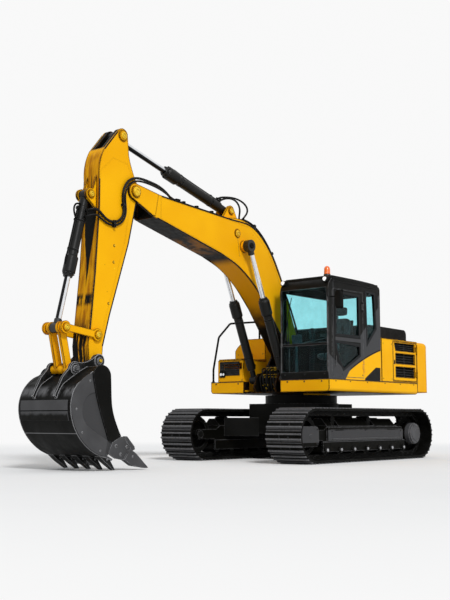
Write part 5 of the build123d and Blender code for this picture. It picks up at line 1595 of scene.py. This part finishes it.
def nose_hoses():
    """Hoses over the boom's nose and down the arm's left side to a clamp, then to the bucket ram."""
    over = [
        (3.45, -0.01, 4.232), (3.53, -0.002, 4.25), (3.66, 0.015, 4.33), (3.86, 0.05, 4.395), (4.13, 0.092, 4.412),
        (4.38, 0.112, 4.425), (4.56, 0.116, 4.385), (4.69, 0.116, 4.265), (4.735, 0.114, 4.1), (4.705, 0.11, 3.94),
        (4.69, 0.108, 3.81), (4.76, 0.108, 3.69), (4.89, 0.108, 3.65)
    ]
    joint = ("front_boom", "front_arm", (4.2, 0.1, 4.42), (4.7, 0.1, 4.15))
    hose("nose_hose_1", over, BIG_HOSE, joint)
    second = [
        (3.48, 0.045, 4.233), (3.57, 0.05, 4.25), (3.72, 0.062, 4.3), (3.9, 0.085, 4.345), (4.15, 0.108, 4.372),
        (4.37, 0.116, 4.38), (4.52, 0.116, 4.345), (4.64, 0.116, 4.24), (4.685, 0.112, 4.1), (4.655, 0.106, 3.94),
        (4.64, 0.104, 3.8), (4.73, 0.103, 3.64), (4.89, 0.103, 3.6)
    ]
    hose("nose_hose_2", second, SMALL_HOSE, joint)
    on = ("front_arm", "bucket_tube", (5.08, 0.0, 3.8), (5.26, 0.0, 3.83))
    lower = [
        (4.89, 0.108, 3.65), (5.0, 0.108, 3.645), (5.11, 0.108, 3.7), (5.205, 0.104, 3.79), (5.29, 0.085, 3.8),
        (5.35, 0.03, 3.77), (5.362, -0.012, 3.762)
    ]
    hose("bucket_hose_1", lower, BIG_HOSE, on)
    inner = [
        (4.89, 0.103, 3.6), (5.01, 0.103, 3.595), (5.13, 0.106, 3.65), (5.235, 0.106, 3.715), (5.32, 0.085, 3.7),
        (5.378, 0.03, 3.675), (5.388, -0.012, 3.665)
    ]
    hose("bucket_hose_2", inner, SMALL_HOSE, on)
    clamp = Solid()
    clamp.box((4.872, 0.078, 3.57), (4.91, 0.134, 3.68))
    clamp.bolt((4.891, 0.134, 3.626), LEFT, 0.01)
    clamp.box((4.675, 0.078, 3.925), (4.735, 0.136, 3.96))
    clamp.bolt((4.705, 0.136, 3.943), LEFT, 0.01)
    clamp.piece("arm_hose_clamps", "front_arm", bevel=0.003)
    block = Solid().box((3.4, -0.06, 4.198), (3.5, 0.08, 4.262))
    block.piece("boom_hose_block", "front_boom", bevel=0.004)
    ends = Solid()
    fitting(ends, (5.362, -0.01, 3.762), (0, 1, 0.05), BIG_HOSE)
    fitting(ends, (5.388, -0.01, 3.665), (0, 1, 0.05), SMALL_HOSE)
    ends.piece("bucket_hose_ends", "bucket_tube", look=wheel_look)
    loop = [
        along_ram(BUCKET_BASE, LINK_PIN, BOOM_Y, d, o, 0.02) for d,
        o in ((0.185, 0.07), (0.19, 0.15), (0.26, 0.18), (0.33, 0.165), (0.4, 0.12), (0.44, 0.08))
    ]
    steel_pipe("bucket_ram_loop", loop, 0.014, "bucket_tube")


def boom_top_pipes():
    """Two steel pipes in clamps along the boom's top, from the arm ram to the nose hoses."""
    for number, y in enumerate((-0.01, 0.045)):
        run = [(2.48, y, 4.165), (2.56, y, 4.172), (2.9, y, 4.192), (3.2, y, 4.211), (3.42, y, 4.226)]
        steel_pipe("boom_top_pipe_%d" % (number + 1), run, 0.016, "front_boom")
    clamp = Solid()
    for x in (2.6, 2.98, 3.3):
        z = 4.132 + (x - 2.25) * 0.0617
        clamp.box((x - 0.022, -0.042, z - 0.004), (x + 0.022, 0.078, z + 0.052))
        clamp.bolt((x, 0.0175, z + 0.052), UP, 0.009)
    clamp.piece("boom_top_clamps", "front_boom", bevel=0.003)


def foot_hoses():
    """Hoses that hang from the boom pipes down behind the foot to the deck."""
    ends = Solid()
    for number, y in enumerate((0.01, 0.065, -0.06, -0.125, -0.19)):
        shift = 0.012 * number
        run = [
            (0.6, y, 3.062), (0.545, y, 2.975), (0.44 - shift, y, 2.8), (0.27 - shift, y, 2.45),
            (0.08 - shift, y, 2.08), (-0.09 - shift, y, 1.84), (-0.23 - shift, y, 1.6), (-0.3, y, 1.38),
            (-0.3, y, 1.212)
        ]
        if number > 1:
            run = [(0.41, y, 2.69), (0.38, y, 2.66)] + run[3:]
        hose("foot_hose_%d" % (number + 1), run, HOSE, ("house", "front_boom", (-0.15, 0, 1.75), (0.26, 0, 2.42)))
        if number > 1:
            fitting(ends, (0.405, y, 2.685), (-0.4, 0, -0.8), HOSE)
    ends.piece("foot_hose_ends", "front_boom", look=wheel_look)
    Solid().box((-0.35, -0.24, DECK_Z), (-0.25, 0.11, 1.236)).piece("foot_hose_plate", "house", bevel=0.003)


def bucket_details():
    bolts = Solid()
    for side in (-1, 1):
        face = BOOM_Y + side * 0.586
        for x, z in ((5.165, 0.345), (5.075, 0.225), (4.955, 0.33)):
            bolts.bolt((x, face, z), (0, side, 0), 0.02)
        cap = BOOM_Y + side * 0.612
        bolts.bolt((4.86, cap, 0.19), (0, side, 0), 0.014)
        for x, z in ((5.66, 1.25), (5.9, 0.86), (5.79, 0.54), (5.45, 0.285)):
            bolts.bolt((x, BOOM_Y + side * 0.574, z), (0, side, 0), 0.012)
    for number in range(5):
        y = BOOM_Y - 0.5 + number * 0.25
        for side in (-1, 1):
            bolts.bolt((5.3, y + side * 0.054, 0.16), (0, side, 0), 0.012)
    bolts.piece("bucket_bolts", "bucket", "grey_steel")


for build in (
    seat,
    track_bolts,
    chain_links,
    roller_bolts,
    panel_details,
    ring_bolts,
    deck_details,
    body_details,
    hood_details,
    tank_details,
    valve_group,
    cab_trim,
    wiper,
    beacon,
    roof_lamps,
    mirror_glass,
    mirror_shell,
    cab_inside,
    boom_plates,
    arm_plates,
    pins,
    ram_pipes,
    arm_ram_hoses,
    nose_hoses,
    boom_top_pipes,
    foot_hoses,
    bucket_details,
):
    build()
print("hose lengths", json.dumps(hose_lengths))


# Camera, floor and light


def camera():
    yaw = math.radians(CAMERA_YAW)
    pitch = math.radians(CAMERA_PITCH)
    forward = Vector((math.cos(pitch) * math.cos(yaw), math.cos(pitch) * math.sin(yaw), math.sin(pitch)))
    data = bpy.data.cameras.new("camera")
    data.sensor_width = SENSOR
    data.lens = CAMERA_LENS
    data.clip_end = 400.0
    obj = bpy.data.objects.new("camera", data)
    obj.location = CAMERA_PLACE
    obj.rotation_mode = "QUATERNION"
    obj.rotation_quaternion = forward.to_track_quat("-Z", "Y")
    bpy.context.scene.collection.objects.link(obj)
    bpy.context.scene.camera = obj


def seen_ray(tree):
    """1 for camera, mirror and glass rays, 0 for the rays that light the object."""
    path = tree.nodes.new("ShaderNodeLightPath")
    total = path.outputs["Is Camera Ray"]
    for name in ("Is Glossy Ray", "Is Transmission Ray"):
        node = tree.nodes.new("ShaderNodeMath")
        node.operation = "MAXIMUM"
        tree.links.new(total, node.inputs[0])
        tree.links.new(path.outputs[name], node.inputs[1])
        total = node.outputs[0]
    return total


BACKDROP = 0.945


def floor_material():
    """A pale floor that passes into the backdrop's tone far from the object."""
    s = Shader("floor")
    x, y, _ = s.axes()
    distance = s.math("SQRT", s.plus(s.all_of(x, x), s.all_of(y, y)))
    tone = s.noise(0.8, 2.0)
    s.finish(s.mix(tone, (0.86, 0.86, 0.86), (0.88, 0.88, 0.88)), 0.95, specular=0.0)
    far = s.add("ShaderNodeEmission")
    far.inputs["Color"].default_value = (BACKDROP, BACKDROP, BACKDROP, 1.0)
    blend = s.add("ShaderNodeMixShader")
    factor = s.all_of(s.ramp(distance, 7.0, 16.0), seen_ray(s.tree))
    s.join(factor, blend.inputs[0])
    s.join(s.bsdf.outputs[0], blend.inputs[1])
    s.join(far.outputs[0], blend.inputs[2])
    s.join(blend.outputs[0], s.tree.nodes["Material Output"].inputs["Surface"])
    return s.material


def studio():
    world = bpy.data.worlds.new("studio")
    bpy.context.scene.world = world
    world.use_nodes = True
    tree = world.node_tree
    mix = tree.nodes.new("ShaderNodeMix")
    mix.data_type = "RGBA"
    mix.inputs[6].default_value = (0.53, 0.54, 0.55, 1.0)
    mix.inputs[7].default_value = (BACKDROP, BACKDROP, BACKDROP, 1.0)
    tree.links.new(seen_ray(tree), mix.inputs[0])
    tree.links.new(mix.outputs[2], tree.nodes["Background"].inputs["Color"])
    sun = bpy.data.lights.new("key", "SUN")
    sun.energy = 2.05
    sun.angle = math.radians(14)
    lamp = bpy.data.objects.new("key", sun)
    lamp.rotation_mode = "QUATERNION"
    lamp.rotation_quaternion = Vector((-0.45, -0.8, -0.75)).to_track_quat("-Z", "Y")
    bpy.context.scene.collection.objects.link(lamp)
    mesh = bpy.data.meshes.new("floor")
    size = 120.0
    mesh.from_pydata([(-size, -size, 0), (size, -size, 0), (size, size, 0), (-size, size, 0)], [], [(0, 1, 2, 3)])
    floor = bpy.data.objects.new("floor", mesh)
    bpy.context.scene.collection.objects.link(floor)
    mesh.materials.append(floor_material())
    bpy.context.scene.view_settings.view_transform = "Standard"


camera()
studio()
